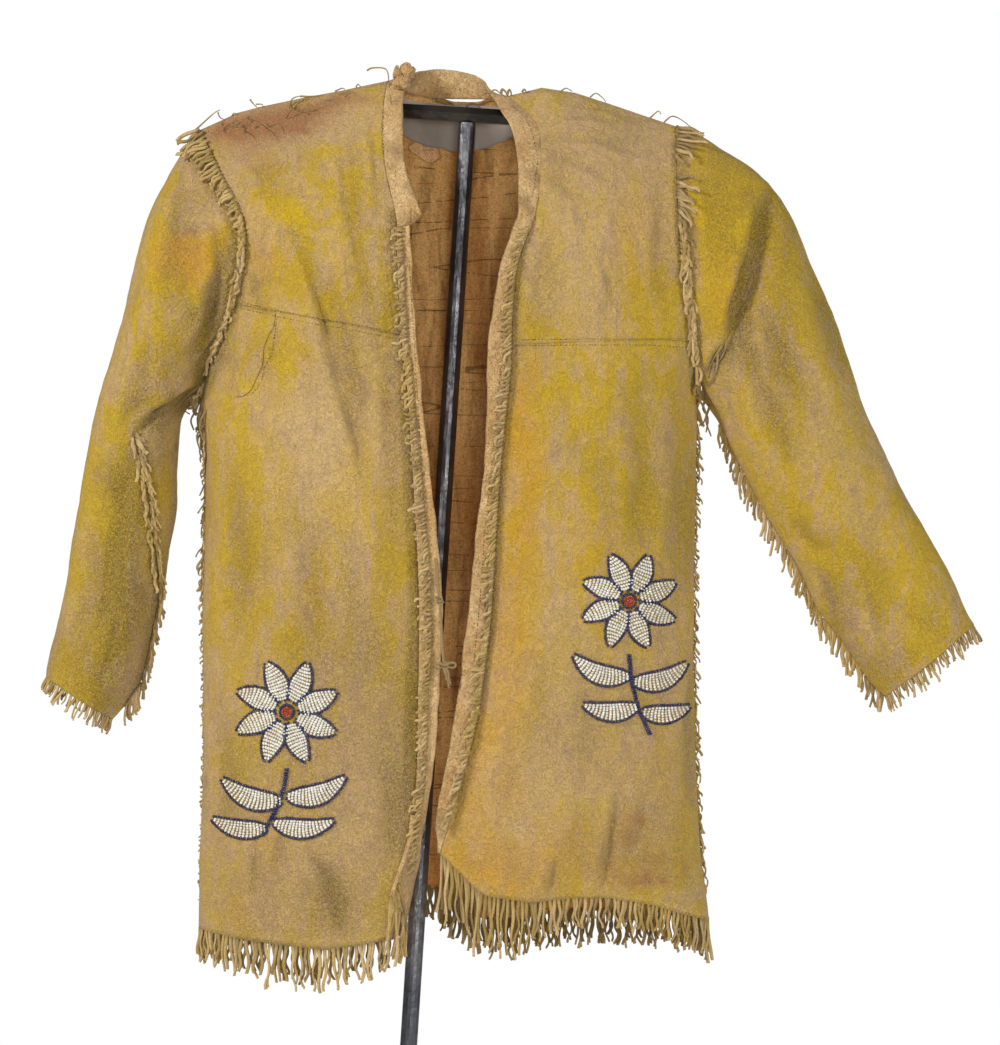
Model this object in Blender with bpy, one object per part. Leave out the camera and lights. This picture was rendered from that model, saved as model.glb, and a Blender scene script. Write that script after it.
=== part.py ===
"""Open-fronted fringed hide coat, hung on a leaning iron T-bar stand with a round foot.

Metres, +Z up. The origin is the centre of the foot's underside. The coat faces -Y, so the wearer's right
side is at -X. Tables hold millimetres, measured from the coat's own centre line and from the floor.
"""

import math
from collections import namedtuple

import bmesh
import bpy
from mathutils import Vector

MM = 0.001

# Driving sizes of the cloth
HIDE = 2.4 * MM  # thickness of the tanned hide
LINING = 1.0 * MM  # thickness of the grey cloth neck facing
POCKET_HIDE = 1.2 * MM
SEAM = 0.2 * MM  # each piece stops this far short of its seam line
SLEEVE_SEAM = 0.5 * MM
POCKET_LIFT = 1.4 * MM  # how far the pocket clears its panel
FACING_LIFT = 3.3 * MM
FACING_TOP = 0.32  # rows from the shoulder seam down to the facing's top
COAT_X = 75 * MM  # the coat's centre line lies this far to the side of the stand's foot

# Driving sizes of the stand
FOOT_RADIUS = 190 * MM
FOOT_THICKNESS = 12 * MM
FOOT_BEVEL = 3 * MM
SOCKET_RADIUS = 19 * MM
SOCKET_HEIGHT = 42 * MM
POLE_RADIUS = 9 * MM
POLE_HEIGHT = 1381.5 * MM
POLE_LEAN = 88 * MM  # how far the pole's top stands to the side of its foot
BAR_HEIGHT = 15 * MM
BAR_DEPTH = 20 * MM

COLUMNS = 9  # panel columns from the front edge to the side seam
NECK_COLUMNS = 6  # columns of the back between its two neck points
ARMPIT = 7  # row of the body tables where the side seam meets the armhole
YOKE = 9  # row of the seam that joins the upper pieces to the lower ones
COLLAR_ROW = 12  # row where the collar starts
RIDGE = 15  # row of the shoulder seam
# The rows at which the cloth is cut into faces, closer at the armpit and under the shoulder seam.
ROWS = (0, 1, 2, 3, 4, 5, 6, 7, 7.5, 8, 9, 10, 11, 12, 13, 14, 14.65, 15)

# A front panel, hem first: its edge along the opening and neck, and its side seam and armhole.
Row = namedtuple("Row", "edge_x edge_z edge_y side_x side_z side_y")
RIGHT_ROWS = (
    Row(-66, 532, -80, -268, 538, 0),
    Row(-51, 612, -90, -266, 615, 0),
    Row(-39, 696, -95, -264, 691, 0),
    Row(-37, 779, -96, -264, 775, 0),
    Row(-36, 872, -96, -265, 867, 0),
    Row(-39, 954, -95, -263, 954, 0),
    Row(-44, 1031, -93, -262, 1032, 0),
    Row(-47, 1088, -92, -268, 1088, 0),
    Row(-51, 1124, -91, -249, 1147, -34),
    Row(-54, 1155, -90, -231, 1189, -48),
    Row(-57, 1201, -88, -220, 1231, -55),
    Row(-59, 1243, -84, -217, 1263, -60),
    Row(-60, 1282, -78, -223, 1290, -56),
    Row(-72, 1332, -60, -240, 1321, -43),
    Row(-75, 1381, -34, -256, 1351, -24),
    Row(-70, 1426, 0, -268, 1374, 0),
)
LEFT_ROWS = (
    Row(-14, 621, -80, 264, 546, 0),
    Row(-2, 660, -90, 257, 623, 0),
    Row(12, 710, -95, 253, 702, 0),
    Row(27, 779, -96, 251, 780, 0),
    Row(38, 866, -96, 250, 864, 0),
    Row(43, 949, -95, 252, 948, 0),
    Row(49, 1031, -93, 253, 1032, 0),
    Row(55, 1088, -92, 255, 1090, 0),
    Row(58, 1117, -91, 252, 1123, -32),
    Row(59, 1145, -90, 248, 1153, -47),
    Row(61, 1191, -88, 241, 1195, -53),
    Row(66, 1231, -84, 236, 1236, -58),
    Row(83, 1282, -74, 233, 1277, -55),
    Row(90, 1333, -56, 232, 1318, -43),
    Row(85, 1379, -32, 232, 1354, -24),
    Row(56, 1410, 0, 232, 1378, 0),
)
# How far the back panel stands behind the coat's mid plane, row by row, and how much further at the neck.
BACK_DEPTH = (95, 97, 97, 96, 94, 92, 90, 88, 86, 85, 83, 80, 74, 60, 35, 0)
NECK_DEPTH = (0, 0, 0, 0, 0, 0, 0, 0, 0, 0, 0, 0, 2, 12, 30, 54)

# Rise of a row's middle over the straight line between its ends: share of the width, and height.
Bow = namedtuple("Bow", "share rise")
RIGHT_HEM = (Bow(0, 0), Bow(0.15, -7), Bow(0.33, -14), Bow(0.55, -11), Bow(0.8, -6), Bow(1, 0))
LEFT_HEM = (Bow(0, 0), Bow(0.08, -17), Bow(0.16, -32), Bow(0.34, -27), Bow(0.5, -11), Bow(0.62, -1),
            Bow(0.8, 3), Bow(1, 0))
RIGHT_SHOULDER = (Bow(0, 0), Bow(0.25, 2.4), Bow(0.45, 5.4), Bow(0.68, 7.8), Bow(0.8, 7.8), Bow(0.88, 4.5),
                  Bow(1, 0))
# The same for the hem of the back, by share of its half width. Minus is the right half.
BACK_HEM = (Bow(-1, 0), Bow(-0.3, 8), Bow(-0.14, 28), Bow(-0.05, 30), Bow(0, 14), Bow(0.08, -6),
            Bow(0.15, -7), Bow(0.24, 0), Bow(0.33, 4), Bow(1, 0))
LEFT_SHOULDER = (Bow(0, 0), Bow(0.2, 15), Bow(0.4, 16), Bow(0.6, 11), Bow(0.85, 4), Bow(1, 0))
HEM_REACH = 3.0  # rows over which the hem's line fades out
SHOULDER_REACH = 5.0
NECK_DIP = 5  # drop of the back neck under its two neck points

# The sleeves from armhole to cuff: their outer and inner line seen from the front, and half their depth.
Ring = namedtuple("Ring", "outer_x outer_z inner_x inner_z depth")
RIGHT_RINGS = (
    Ring(-268, 1374, -268, 1088, 60),
    Ring(-297, 1337, -279, 1086, 64),
    Ring(-320, 1293, -285, 1078, 64),
    Ring(-338, 1216, -289, 1059, 62),
    Ring(-357, 1148, -291, 1036, 60),
    Ring(-375, 1090, -292, 1008, 58),
    Ring(-387, 1032, -293, 977, 56),
    Ring(-398, 964, -299, 938, 54),
    Ring(-407, 906, -304, 891, 52),
    Ring(-417, 856, -314, 844, 50),
    Ring(-425, 824, -331, 792, 46),
    Ring(-430, 802, -361, 757, 44),
)
LEFT_RINGS = (
    Ring(232, 1378, 255, 1090, 60),
    Ring(276, 1360, 259, 1088, 64),
    Ring(320, 1334, 266, 1078, 64),
    Ring(354, 1279, 280, 1057, 62),
    Ring(375, 1229, 297, 1029, 60),
    Ring(394, 1187, 312, 1000, 58),
    Ring(411, 1138, 329, 970, 56),
    Ring(424, 1092, 344, 941, 54),
    Ring(442, 1054, 361, 910, 52),
    Ring(466, 1004, 381, 874, 50),
    Ring(495, 954, 402, 845, 48),
    Ring(517, 912, 421, 815, 47),
    Ring(533, 875, 438, 792, 46),
    Ring(543, 855, 453, 782, 46),
)
ARMHOLE_REACH = 2.6  # rings over which the armhole's shape passes into the sleeve's own
RING_POINTS = 2 * (RIDGE - ARMPIT)
RIGHT_CUTS = (0, 1, 1.7, 2.4, 3, 4, 5, 6, 7, 8, 9, 10, 11)
LEFT_CUTS = (0, 1.2, 1.8, 2.2, 2.6, 3, 3.5, 4, 5, 6, 7, 8, 9, 10, 11, 12, 13)

# The largest folds: a line seen from the front, its half width and how deep it sinks. Minus stands proud.
Fold = namedtuple("Fold", "x0 z0 x1 z1 width depth")
FRONT_FOLDS = (
    Fold(-155, 1290, -70, 950, 14, 5),
    Fold(-120, 1240, -105, 1090, 12, -4),
    Fold(130, 1000, 105, 760, 22, 4),
    Fold(205, 1120, 190, 900, 16, 4),
    Fold(-160, 740, -175, 560, 14, 4),
)
BACK_FOLDS = (
    Fold(-120, 1180, -90, 760, 22, 6),
    Fold(60, 1200, 90, 820, 24, 6),
    Fold(-10, 900, -30, 620, 26, 5),
)
SLEEVE_FOLDS = (
    Fold(330, 1296, 285, 1140, 13, 16),
    Fold(308, 1290, 266, 1150, 12, -7),
    Fold(-246, 1200, -262, 1110, 12, 10),
    Fold(-352, 1030, -384, 830, 20, 9),
    Fold(430, 960, 470, 880, 18, 6),
)

# The bands that edge the opening: their free edge, bottom first, one point for each body row.
Point = namedtuple("Point", "x z y")
RIGHT_OPENING = (
    Point(-52, 536, -52), Point(-37, 610, -70), Point(-24, 696, -93), Point(-17, 779, -101),
    Point(-13, 872, -102), Point(-19, 954, -101), Point(-28, 1031, -99), Point(-34, 1088, -97),
    Point(-37, 1124, -96), Point(-41, 1155, -95), Point(-44, 1201, -93), Point(-46, 1243, -90),
    Point(-48, 1278, -84),
)
LEFT_OPENING = (
    Point(-21, 620, -72), Point(-18, 664, -90), Point(-8, 710, -99), Point(3, 779, -102),
    Point(15, 866, -102), Point(23, 949, -101), Point(32, 1031, -99), Point(34, 1088, -97),
    Point(34, 1117, -96), Point(35, 1145, -95), Point(42, 1191, -93), Point(49, 1231, -90),
    Point(65, 1278, -82),
)
# The collar's free edge, one point for each of its seam's: up the right front, round the back, down the left.
COLLAR_EDGE = (
    Point(-37, 1287, -84), Point(-52, 1332, -70), Point(-55, 1378, -46), Point(-54, 1408, -28),
    Point(-49, 1428, -4), Point(-42, 1437, 30), Point(-25, 1441, 50), Point(-4, 1441, 56),
    Point(16, 1437, 50), Point(31, 1427, 28), Point(40, 1409, -2), Point(51, 1390, -28),
    Point(63, 1366, -46), Point(67, 1328, -64), Point(67, 1287, -80),
)
# Where the back has torn from the collar: how far its edge has dropped.
Tear = namedtuple("Tear", "x drop")
NECK_TEAR = (Tear(-60, 0.5), Tear(-30, 0.6), Tear(-10, 1.5), Tear(-2, 5.5), Tear(24, 5.5), Tear(33, 1),
             Tear(45, 0.5))
# How far each sleeve stands off its armhole, by rows from the armpit. The left one's seam is open there.
UNDERARM_GAP = {"right": {0: 0.6, 0.5: 0.8}, "left": {0: 2.5, 0.5: 6.5}}
TEAR_FADE = (1, 1.3, 1.2, 0.9, 0.6, 0.3)  # share of that for each cut along the sleeve

# The grey facing inside the back of the neck: share of the half back, and how many rows down it reaches.
Reach = namedtuple("Reach", "share rows")
FACING = (Reach(-0.30, 0.8), Reach(-0.244, 0.9), Reach(-0.163, 1.1), Reach(-0.081, 1.45), Reach(0, 1.65),
          Reach(0.081, 1.6), Reach(0.163, 1.45), Reach(0.244, 1.3), Reach(0.30, 1.2))

# The chest pocket on the right front: distance down from the yoke seam, and where its two sides lie.
Pocket = namedtuple("Pocket", "down near far")
POCKET = (Pocket(0.06, 0.70, 0.945), Pocket(0.4, 0.668, 0.90), Pocket(0.7, 0.65, 0.86),
          Pocket(1.0, 0.629, 0.82), Pocket(1.3, 0.592, 0.755), Pocket(1.55, 0.577, 0.715),
          Pocket(1.73, 0.572, 0.69), Pocket(1.84, 0.58, 0.67), Pocket(1.92, 0.6, 0.65))
POCKET_COLUMNS = 6

# Fringe: a strip along a seam with four-sided strands cut into its edge.
STRIP_HALF = 0.7 * MM  # half its thickness
STRIP_HEIGHT = 3.5 * MM
STRIP_GAP = 0.5 * MM
STRAND_HALF = 1.7 * MM  # half a strand's width
TIP_SHARE = 0.7
STRAND_WAVES = (1.0, 0.86, 1.1, 0.94, 1.16, 0.8, 1.04, 0.9)  # lengths of strands in a row, repeated

# The hide tie that hangs at the right front's edge, with its two knots.
Station = namedtuple("Station", "x z y radius")
TIE = (Station(-18.5, 925, -103.4, 1.6), Station(-17.5, 908, -104.5, 1.6), Station(-15.8, 890, -107, 1.8),
       Station(-14.7, 882, -109, 3.0), Station(-14.2, 876, -109, 1.8), Station(-13, 856, -108.5, 1.6),
       Station(-12, 836, -108, 1.6), Station(-11, 824, -108, 2.2), Station(-9.5, 815, -108, 4.2),
       Station(-8, 808, -107.5, 2.2), Station(-6.5, 800, -107, 1.8), Station(-5, 792, -106, 1.2))
TIE_SIDES = 6
EDGE_FRINGE_COLUMN = 0.16  # how far from its front's edge, in columns

# The top of the bar along its length. The arms bear up under the shoulder seams at both ends.
Bar = namedtuple("Bar", "x top")
BAR = (Bar(-165, 1400.5), Bar(-150, 1403.0), Bar(-120, 1403.2), Bar(-55, 1401.5), Bar(13, 1397.5),
       Bar(58, 1394.5), Bar(110, 1391.0), Bar(150, 1388.0), Bar(185, 1388.3))
BAR_SECTION = ((-0.5, 1), (-1, 0.1), (-0.5, -1), (0.5, -1), (1, 0.1), (0.5, 1))  # front to back, low to high

COLOURS = {
    "hide": ((0.53, 0.38, 0.13, 1), 0.85, 0.0),
    "band_hide": ((0.68, 0.5, 0.27, 1), 0.85, 0.0),
    "thong": ((0.5, 0.37, 0.16, 1), 0.85, 0.0),
    "grey_cloth": ((0.36, 0.33, 0.3, 1), 0.9, 0.0),
    "iron": ((0.02, 0.022, 0.027, 1), 0.45, 0.9),
}


def clear_scene():
    for found in list(bpy.data.objects):
        bpy.data.objects.remove(found)


def material(name):
    made = bpy.data.materials.get(name)
    if made:
        return made
    colour, roughness, metallic = COLOURS[name]
    made = bpy.data.materials.new(name)
    made.use_nodes = True
    shader = made.node_tree.nodes["Principled BSDF"]
    shader.inputs["Base Color"].default_value = colour
    shader.inputs["Roughness"].default_value = roughness
    shader.inputs["Metallic"].default_value = metallic
    return made


def add_object(name, mesh, finish):
    mesh.materials.append(material(finish))
    made = bpy.data.objects.new(name, mesh)
    bpy.context.scene.collection.objects.link(made)
    return made


def mix(a, b, share):
    return a + (b - a) * share


def cuts_of(values, first, last):
    return [value for value in values if first <= value <= last]


def smooth(low, high, value):
    share = min(1.0, max(0.0, (value - low) / (high - low)))
    return share * share * (3 - 2 * share)


def spline(values, at):
    """The value at a fractional place in a list, on a curve through its members."""
    last = len(values) - 1
    at = min(max(at, 0.0), float(last))
    i = min(int(at), last - 1)
    t = at - i
    p1, p2 = values[i], values[i + 1]
    p0 = values[i - 1] if i else 2 * p1 - p2
    p3 = values[i + 2] if i + 2 <= last else 2 * p2 - p1
    return 0.5 * (2 * p1 + (p2 - p0) * t + (2 * p0 - 5 * p1 + 4 * p2 - p3) * t * t
                  + (3 * p1 - 3 * p2 + p3 - p0) * t ** 3)


def table_at(rows, at):
    """A table's row at a fractional place, as a row of the same kind."""
    return type(rows[0])(*(spline(column, at) for column in zip(*rows)))


def table_between(rows, share):
    """The second column of a two-column table where the first has this value."""
    for low, high in zip(rows, rows[1:]):
        if share <= high[0]:
            return mix(low[1], high[1], (share - low[0]) / (high[0] - low[0]))
    return rows[-1][1]


def fold_depth(folds, x, z):
    """How far the folds sink the hide at this place, in millimetres, fading towards the end of each."""
    total = 0.0
    for fold in folds:
        along_x, along_z = fold.x1 - fold.x0, fold.z1 - fold.z0
        length2 = along_x ** 2 + along_z ** 2
        t = ((x - fold.x0) * along_x + (z - fold.z0) * along_z) / length2
        held = min(1.0, max(0.0, t))
        away = math.hypot(x - fold.x0 - held * along_x, z - fold.z0 - held * along_z)
        fade = 0.35 + 0.65 * math.sin(math.pi * held)
        total += fold.depth * fade * math.exp(-((away / fold.width) ** 2))
    return total


def mirrored_ridge(rows):
    """The rows and one beyond the shoulder seam, so that the hide rolls over it."""
    over = rows[-2]
    return rows + (over._replace(edge_y=-over.edge_y, side_y=-over.side_y),)


FRONTS = {
    "right": (mirrored_ridge(RIGHT_ROWS), RIGHT_HEM, RIGHT_SHOULDER),
    "left": (mirrored_ridge(LEFT_ROWS), LEFT_HEM, LEFT_SHOULDER),
}


def roundness(v):
    """How much a row rounds away at its side seam: wholly below the armpit, not at all at the shoulder."""
    return 1 - smooth(ARMPIT - 1, ARMPIT + 3, v)


def row_rise(hem, shoulder, share, v):
    rise = table_between(hem, share) * max(0.0, 1 - v / HEM_REACH) ** 2
    near = max(0.0, 1 - (RIDGE - min(v, RIDGE)) / SHOULDER_REACH)
    return rise + table_between(shoulder, share) * near ** 1.5


def front_mm(side, u, v):
    """A point of a front panel in millimetres: u runs from the opening to the side, v from hem to shoulder."""
    rows, hem, shoulder = FRONTS[side]
    row = table_at(rows, v)
    share = mix(u, math.sin(u * math.pi / 2), roundness(v))
    hold = max(0.0, math.cos(min(u, 1.0) * math.pi / 2)) ** mix(1.0, 0.8, roundness(v))
    x = mix(row.edge_x, row.side_x, share)
    y = mix(row.side_y, row.edge_y, hold) - 6 * math.sin(math.pi * min(u, 1.0)) * smooth(15, 11, v)
    z = mix(row.edge_z, row.side_z, share) + row_rise(hem, shoulder, share, v)
    return x, y, z


def smooth_fall(u):
    """Folds die out towards a panel's seams."""
    return min(1.0, 8 * u) * min(1.0, 6 * (1 - u))


def front_point(side, u, v):
    x, y, z = front_mm(side, u, v)
    y += fold_depth(FRONT_FOLDS, x, z) * smooth_fall(u)
    return Vector((x * MM + COAT_X, y * MM, z * MM))


NECK_SHARE = 0.244  # half the neck's width as a share of half the back's


def back_top(side, share):
    """The back's top line at a share of its half width: along the neck, then along the shoulder seam."""
    rows, _, shoulder = FRONTS[side]
    seam = rows[RIDGE]
    middle_z = mix(RIGHT_ROWS[RIDGE].edge_z, LEFT_ROWS[RIDGE].edge_z, 0.5) - NECK_DIP
    middle_x = mix(RIGHT_ROWS[RIDGE].edge_x, LEFT_ROWS[RIDGE].edge_x, 0.5)
    if share < NECK_SHARE:
        t = share / NECK_SHARE
        x = mix(middle_x, seam.edge_x, t)
        return x, mix(middle_z, seam.edge_z, t * t)
    t = (share - NECK_SHARE) / (1 - NECK_SHARE)
    z = mix(seam.edge_z, seam.side_z, t) + table_between(shoulder, t)
    return mix(seam.edge_x, seam.side_x, t), z


def back_mm(s, v):
    """A point of the back in millimetres: s runs from -1 at the right side to 1 at the left side."""
    side = "right" if s < 0 else "left"
    share = abs(s)
    held = min(v, float(RIDGE))
    row = table_at(FRONTS[side][0], held)
    right, left = (table_at(FRONTS[name][0], held) for name in ("right", "left"))
    top_x, top_z = back_top(side, share)
    top = smooth(RIDGE - 3, RIDGE, held) if held < RIDGE else 1.0
    middle_x = mix(right.side_x, left.side_x, 0.5)
    middle_x = mix(middle_x, mix(RIGHT_ROWS[RIDGE].edge_x, LEFT_ROWS[RIDGE].edge_x, 0.5), top)
    middle_z = mix(right.side_z, left.side_z, 0.5)
    level = mix(share, math.sin(min(share, 1.0) * math.pi / 2), roundness(v))
    hold = max(0.0, math.cos(min(share, 1.0) * math.pi / 2)) ** mix(1.0, 0.8, roundness(v))
    x = mix(mix(middle_x, row.side_x, level), top_x, top)
    bump = max(0.0, 1 - (share / (NECK_SHARE + 0.1 * (RIDGE - held))) ** 2.4) ** 0.75
    y = mix(-row.side_y, spline(BACK_DEPTH, held), hold) + spline(NECK_DEPTH, held) * bump
    climb = max(0.0, (held - ARMPIT) / (RIDGE - ARMPIT))
    side_top = FRONTS[side][0][RIDGE].side_z
    flat_z = mix(middle_z, row.side_z, min(1.0, level))
    side_z = mix(flat_z, row.side_z, climb)
    z = side_z + (top_z - side_top) * climb + table_between(BACK_HEM, s) * max(0.0, 1 - v / HEM_REACH) ** 2
    return x, y, z


def back_point(s, v):
    x, y, z = back_mm(s, v)
    if v > RIDGE:  # past the shoulder seam the hide rolls forward, and past the neck it stands up
        under = back_mm(s, 2 * RIDGE - v)
        x, z = under[0], under[2]
        y = -under[1]
        if abs(s) < NECK_SHARE:
            here = back_mm(s, RIDGE)
            x, y, z = (2 * a - b for a, b in zip(here, under))
    y -= fold_depth(BACK_FOLDS, x, z) * min(1.0, 6 * (1 - abs(s)))
    return Vector((x * MM + COAT_X, y * MM, z * MM))


RINGS = {"right": RIGHT_RINGS, "left": LEFT_RINGS}


def armhole_point(side, j):
    """A point of the armhole: j runs from the armpit up the front to the shoulder and down the back."""
    half = RIDGE - ARMPIT
    if j <= half:
        return front_point(side, 1.0, ARMPIT + j)
    return back_point(-1.0 if side == "right" else 1.0, RIDGE - (j - half))


def sleeve_point(side, t, j):
    """A point of a sleeve: t runs from armhole to cuff in rings, j round it as on the armhole."""
    ring = table_at(RINGS[side], t)
    angle = math.pi * (1 - j / (RIDGE - ARMPIT))
    outward, forward = math.cos(angle), math.sin(angle)
    x = mix((ring.inner_x + ring.outer_x) / 2, ring.outer_x, outward)
    z = mix((ring.inner_z + ring.outer_z) / 2, ring.outer_z, outward)
    own = Vector((x * MM + COAT_X, -ring.depth * forward * MM, z * MM))
    armhole = 1 - smooth(0, ARMHOLE_REACH, t)
    place = own.lerp(armhole_point(side, j), armhole)
    if forward > 0:
        sink = fold_depth(SLEEVE_FOLDS, (place.x - COAT_X) / MM, place.z / MM)
        place.y += sink * forward * (1 - armhole) * MM
    return place


def surface_normal(surface, a, b, inside):
    """The unit normal of a surface at (a, b), pointing away from a point inside the garment."""
    step = 0.02
    along = surface(a + step, b) - surface(a - step, b)
    across = surface(a, b + step) - surface(a, b - step)
    normal = along.cross(across).normalized()
    return normal if normal.dot(surface(a, b) - inside) > 0 else -normal


def body_inside(place):
    """A point well inside the body of the coat, level with a place on it or a little under."""
    return Vector((mix(COAT_X, place.x, 0.5), 0, min(place.z - 60 * MM, 1.3)))


def body_normal(surface, a, b):
    return surface_normal(surface, a, b, body_inside(surface(a, b)))


def sleeve_middle(side, t):
    points = [sleeve_point(side, t, j) for j in range(RING_POINTS)]
    return sum(points, Vector()) / len(points)


def sleeve_normal(side, j, t):
    return surface_normal(lambda a, b: sleeve_point(side, b, a % RING_POINTS), j, t, sleeve_middle(side, t))


def armhole_normal(side, j):
    """The direction in which both the body and the sleeve are thick along the armhole."""
    half = RIDGE - ARMPIT
    sign = -1 if side == "right" else 1
    j = j % RING_POINTS
    if j <= half:
        body = body_normal(lambda a, b: front_point(side, a, b), 0.98, ARMPIT + j)
    else:
        body = body_normal(back_point, 0.98 * sign, RIDGE - (j - half))
    shared = body + sleeve_normal(side, j, ARMHOLE_REACH / 4)
    if j % half == 0:  # the fronts and the back meet here, so it leans to neither
        shared.y = 0
    return shared.normalized()


Cloth = namedtuple("Cloth", "outer inner")  # two grids of points, alike in rows and columns


def cloth(surface, a_values, b_values, normal, thickness=HIDE):
    """The outer and inner points of a wall: rows follow b, columns follow a."""
    outer, inner = [], []
    for b in b_values:
        outer.append([surface(a, b) for a in a_values])
        inner.append([surface(a, b) - normal(a, b) * thickness for a in a_values])
    return Cloth(outer, inner)


def shorten(cut, sides, gap=SEAM):
    """Moves a wall's seam edges in by a gap: sides holds any of low, high, near and far."""
    for grid in cut:
        rows, columns = len(grid), len(grid[0])
        moves = []
        if "low" in sides:
            moves += [((0, c), (1, c)) for c in range(columns)]
        if "high" in sides:
            moves += [((rows - 1, c), (rows - 2, c)) for c in range(columns)]
        if "near" in sides:
            moves += [((r, 0), (r, 1)) for r in range(rows)]
        if "far" in sides:
            moves += [((r, columns - 1), (r, columns - 2)) for r in range(rows)]
        shifts = [(end, (grid[to[0]][to[1]] - grid[end[0]][end[1]]).normalized() * gap) for end, to in moves]
        for (r, c), shift in shifts:
            grid[r][c] = grid[r][c] + shift
    return cut


def part_of(cut, first, last):
    """The rows of a wall from first to last, as a wall of its own."""
    return Cloth(*([list(row) for row in grid[first:last + 1]] for grid in cut))


def wall(name, cut, finish, ring=False):
    """A closed solid from a wall's two grids. A ring's columns close on themselves."""
    shape = bmesh.new()
    rows, columns = len(cut.outer), len(cut.outer[0])
    outer, inner = ([[shape.verts.new(p) for p in row] for row in grid] for grid in cut)
    spans = columns if ring else columns - 1
    for r in range(rows - 1):
        for c in range(spans):
            d = (c + 1) % columns
            shape.faces.new((outer[r][c], outer[r][d], outer[r + 1][d], outer[r + 1][c]))
            shape.faces.new((inner[r][c], inner[r + 1][c], inner[r + 1][d], inner[r][d]))
    for c in range(spans):
        d = (c + 1) % columns
        shape.faces.new((outer[0][c], inner[0][c], inner[0][d], outer[0][d]))
        shape.faces.new((outer[-1][c], outer[-1][d], inner[-1][d], inner[-1][c]))
    if not ring:
        for r in range(rows - 1):
            shape.faces.new((outer[r][0], outer[r + 1][0], inner[r + 1][0], inner[r][0]))
            shape.faces.new((outer[r][-1], inner[r][-1], inner[r + 1][-1], outer[r + 1][-1]))
    return finish_mesh(name, shape, finish)


def finish_mesh(name, shape, finish, sharp_over=40):
    bmesh.ops.recalc_face_normals(shape, faces=shape.faces)
    mesh = bpy.data.meshes.new(name)
    shape.to_mesh(mesh)
    shape.free()
    mesh.shade_smooth()
    mesh.set_sharp_from_angle(angle=math.radians(sharp_over))
    return add_object(name, mesh, finish)


def on_wall(cut, row, column, lift):
    """A point at a fractional row and column of a wall, lifted off its outer face (minus: off its inner)."""
    grid = cut.outer if lift >= 0 else cut.inner
    r, c = min(int(row), len(grid) - 2), min(int(column), len(grid[0]) - 2)
    t, u = row - r, column - c
    place, far = ((g[r][c] * (1 - t) * (1 - u) + g[r][c + 1] * (1 - t) * u + g[r + 1][c] * t * (1 - u)
                   + g[r + 1][c + 1] * t * u) for g in (grid, cut.inner if lift >= 0 else cut.outer))
    return place + (place - far).normalized() * abs(lift)


U_VALUES = [i / COLUMNS for i in range(COLUMNS + 1)]


def front_normal(side):
    sign = -1 if side == "right" else 1

    def normal(u, v):
        if u == 1.0 and v >= ARMPIT:
            return armhole_normal(side, v - ARMPIT)
        if u == 1.0:
            return Vector((sign, 0, 0))
        made = body_normal(lambda a, b: front_point(side, a, b), max(0.001, u), v)
        if v == RIDGE:
            made.y = 0
        return made.normalized()
    return normal


def back_normal(s, v):
    side = "right" if s < 0 else "left"
    if abs(s) == 1.0 and v >= ARMPIT:
        return armhole_normal(side, RING_POINTS - (v - ARMPIT))
    if abs(s) == 1.0 or (v == RIDGE and abs(s) >= NECK_SHARE - 1e-9):
        return front_normal(side)((abs(s) - NECK_SHARE) / (1 - NECK_SHARE), v)
    return body_normal(back_point, s, v)


def back_columns():
    """Places across the back: those of each front along its shoulder, and a few across the neck."""
    shoulder = [mix(NECK_SHARE, 1.0, u) for u in U_VALUES]
    neck = [mix(-NECK_SHARE, NECK_SHARE, i / NECK_COLUMNS) for i in range(1, NECK_COLUMNS)]
    return [-s for s in reversed(shoulder)] + neck + shoulder


def tear_neck(cut):
    """Drops the back's edge where it has torn from the collar."""
    for grid in cut:
        for c in range(COLUMNS + 1, COLUMNS + NECK_COLUMNS):
            x = (grid[-1][c].x - COAT_X) / MM
            grid[-1][c] = grid[-1][c] - Vector((0, 0, table_between(NECK_TEAR, x) * MM))


def build_body():
    """The two fronts and the back, each an upper and a lower piece. Returns the walls before their seams."""
    cuts = {side: cloth(lambda u, v, side=side: front_point(side, u, v), U_VALUES, ROWS, front_normal(side))
            for side in FRONTS}
    cuts["back"] = cloth(back_point, back_columns(), ROWS, back_normal)
    yoke = ROWS.index(YOKE)
    for name, cut in cuts.items():
        part = "back" if name == "back" else "front_" + name
        upper = part_of(cut, yoke, len(ROWS) - 1)
        if name == "back":
            tear_neck(upper)
        wall(part + "_upper", shorten(upper, "near far low high"), "hide")
        wall(part + "_lower", shorten(part_of(cut, 0, yoke), "near far high"), "hide")
    return cuts


def ring_places():
    """Places round a sleeve, each at the end of one of the body's rows."""
    up = [v - ARMPIT for v in cuts_of(ROWS, ARMPIT, RIDGE)]
    return up + [RING_POINTS - j for j in reversed(up[1:-1])]


def open_underarm(cut, side):
    """Draws a sleeve's edge off the armhole under the arm."""
    sign = -1 if side == "right" else 1
    for k, j in enumerate(ring_places()):
        off = sign * UNDERARM_GAP[side].get(min(j, RING_POINTS - j), 0)
        for grid in cut:
            for r, share in enumerate(TEAR_FADE):
                grid[r][k] = grid[r][k] + Vector((off * share * MM, 0, 0))


def build_sleeves():
    for side, places in (("right", RIGHT_CUTS), ("left", LEFT_CUTS)):
        def normal(j, t, side=side):
            return armhole_normal(side, j) if t == 0 else sleeve_normal(side, j, t)

        cut = cloth(lambda j, t, side=side: sleeve_point(side, t, j), ring_places(), places, normal)
        shorten(cut, "low", SLEEVE_SEAM)
        open_underarm(cut, side)
        wall("sleeve_" + side, cut, "hide", ring=True)


def to_place(point):
    return Vector((point.x * MM + COAT_X, point.y * MM, point.z * MM))


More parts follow.
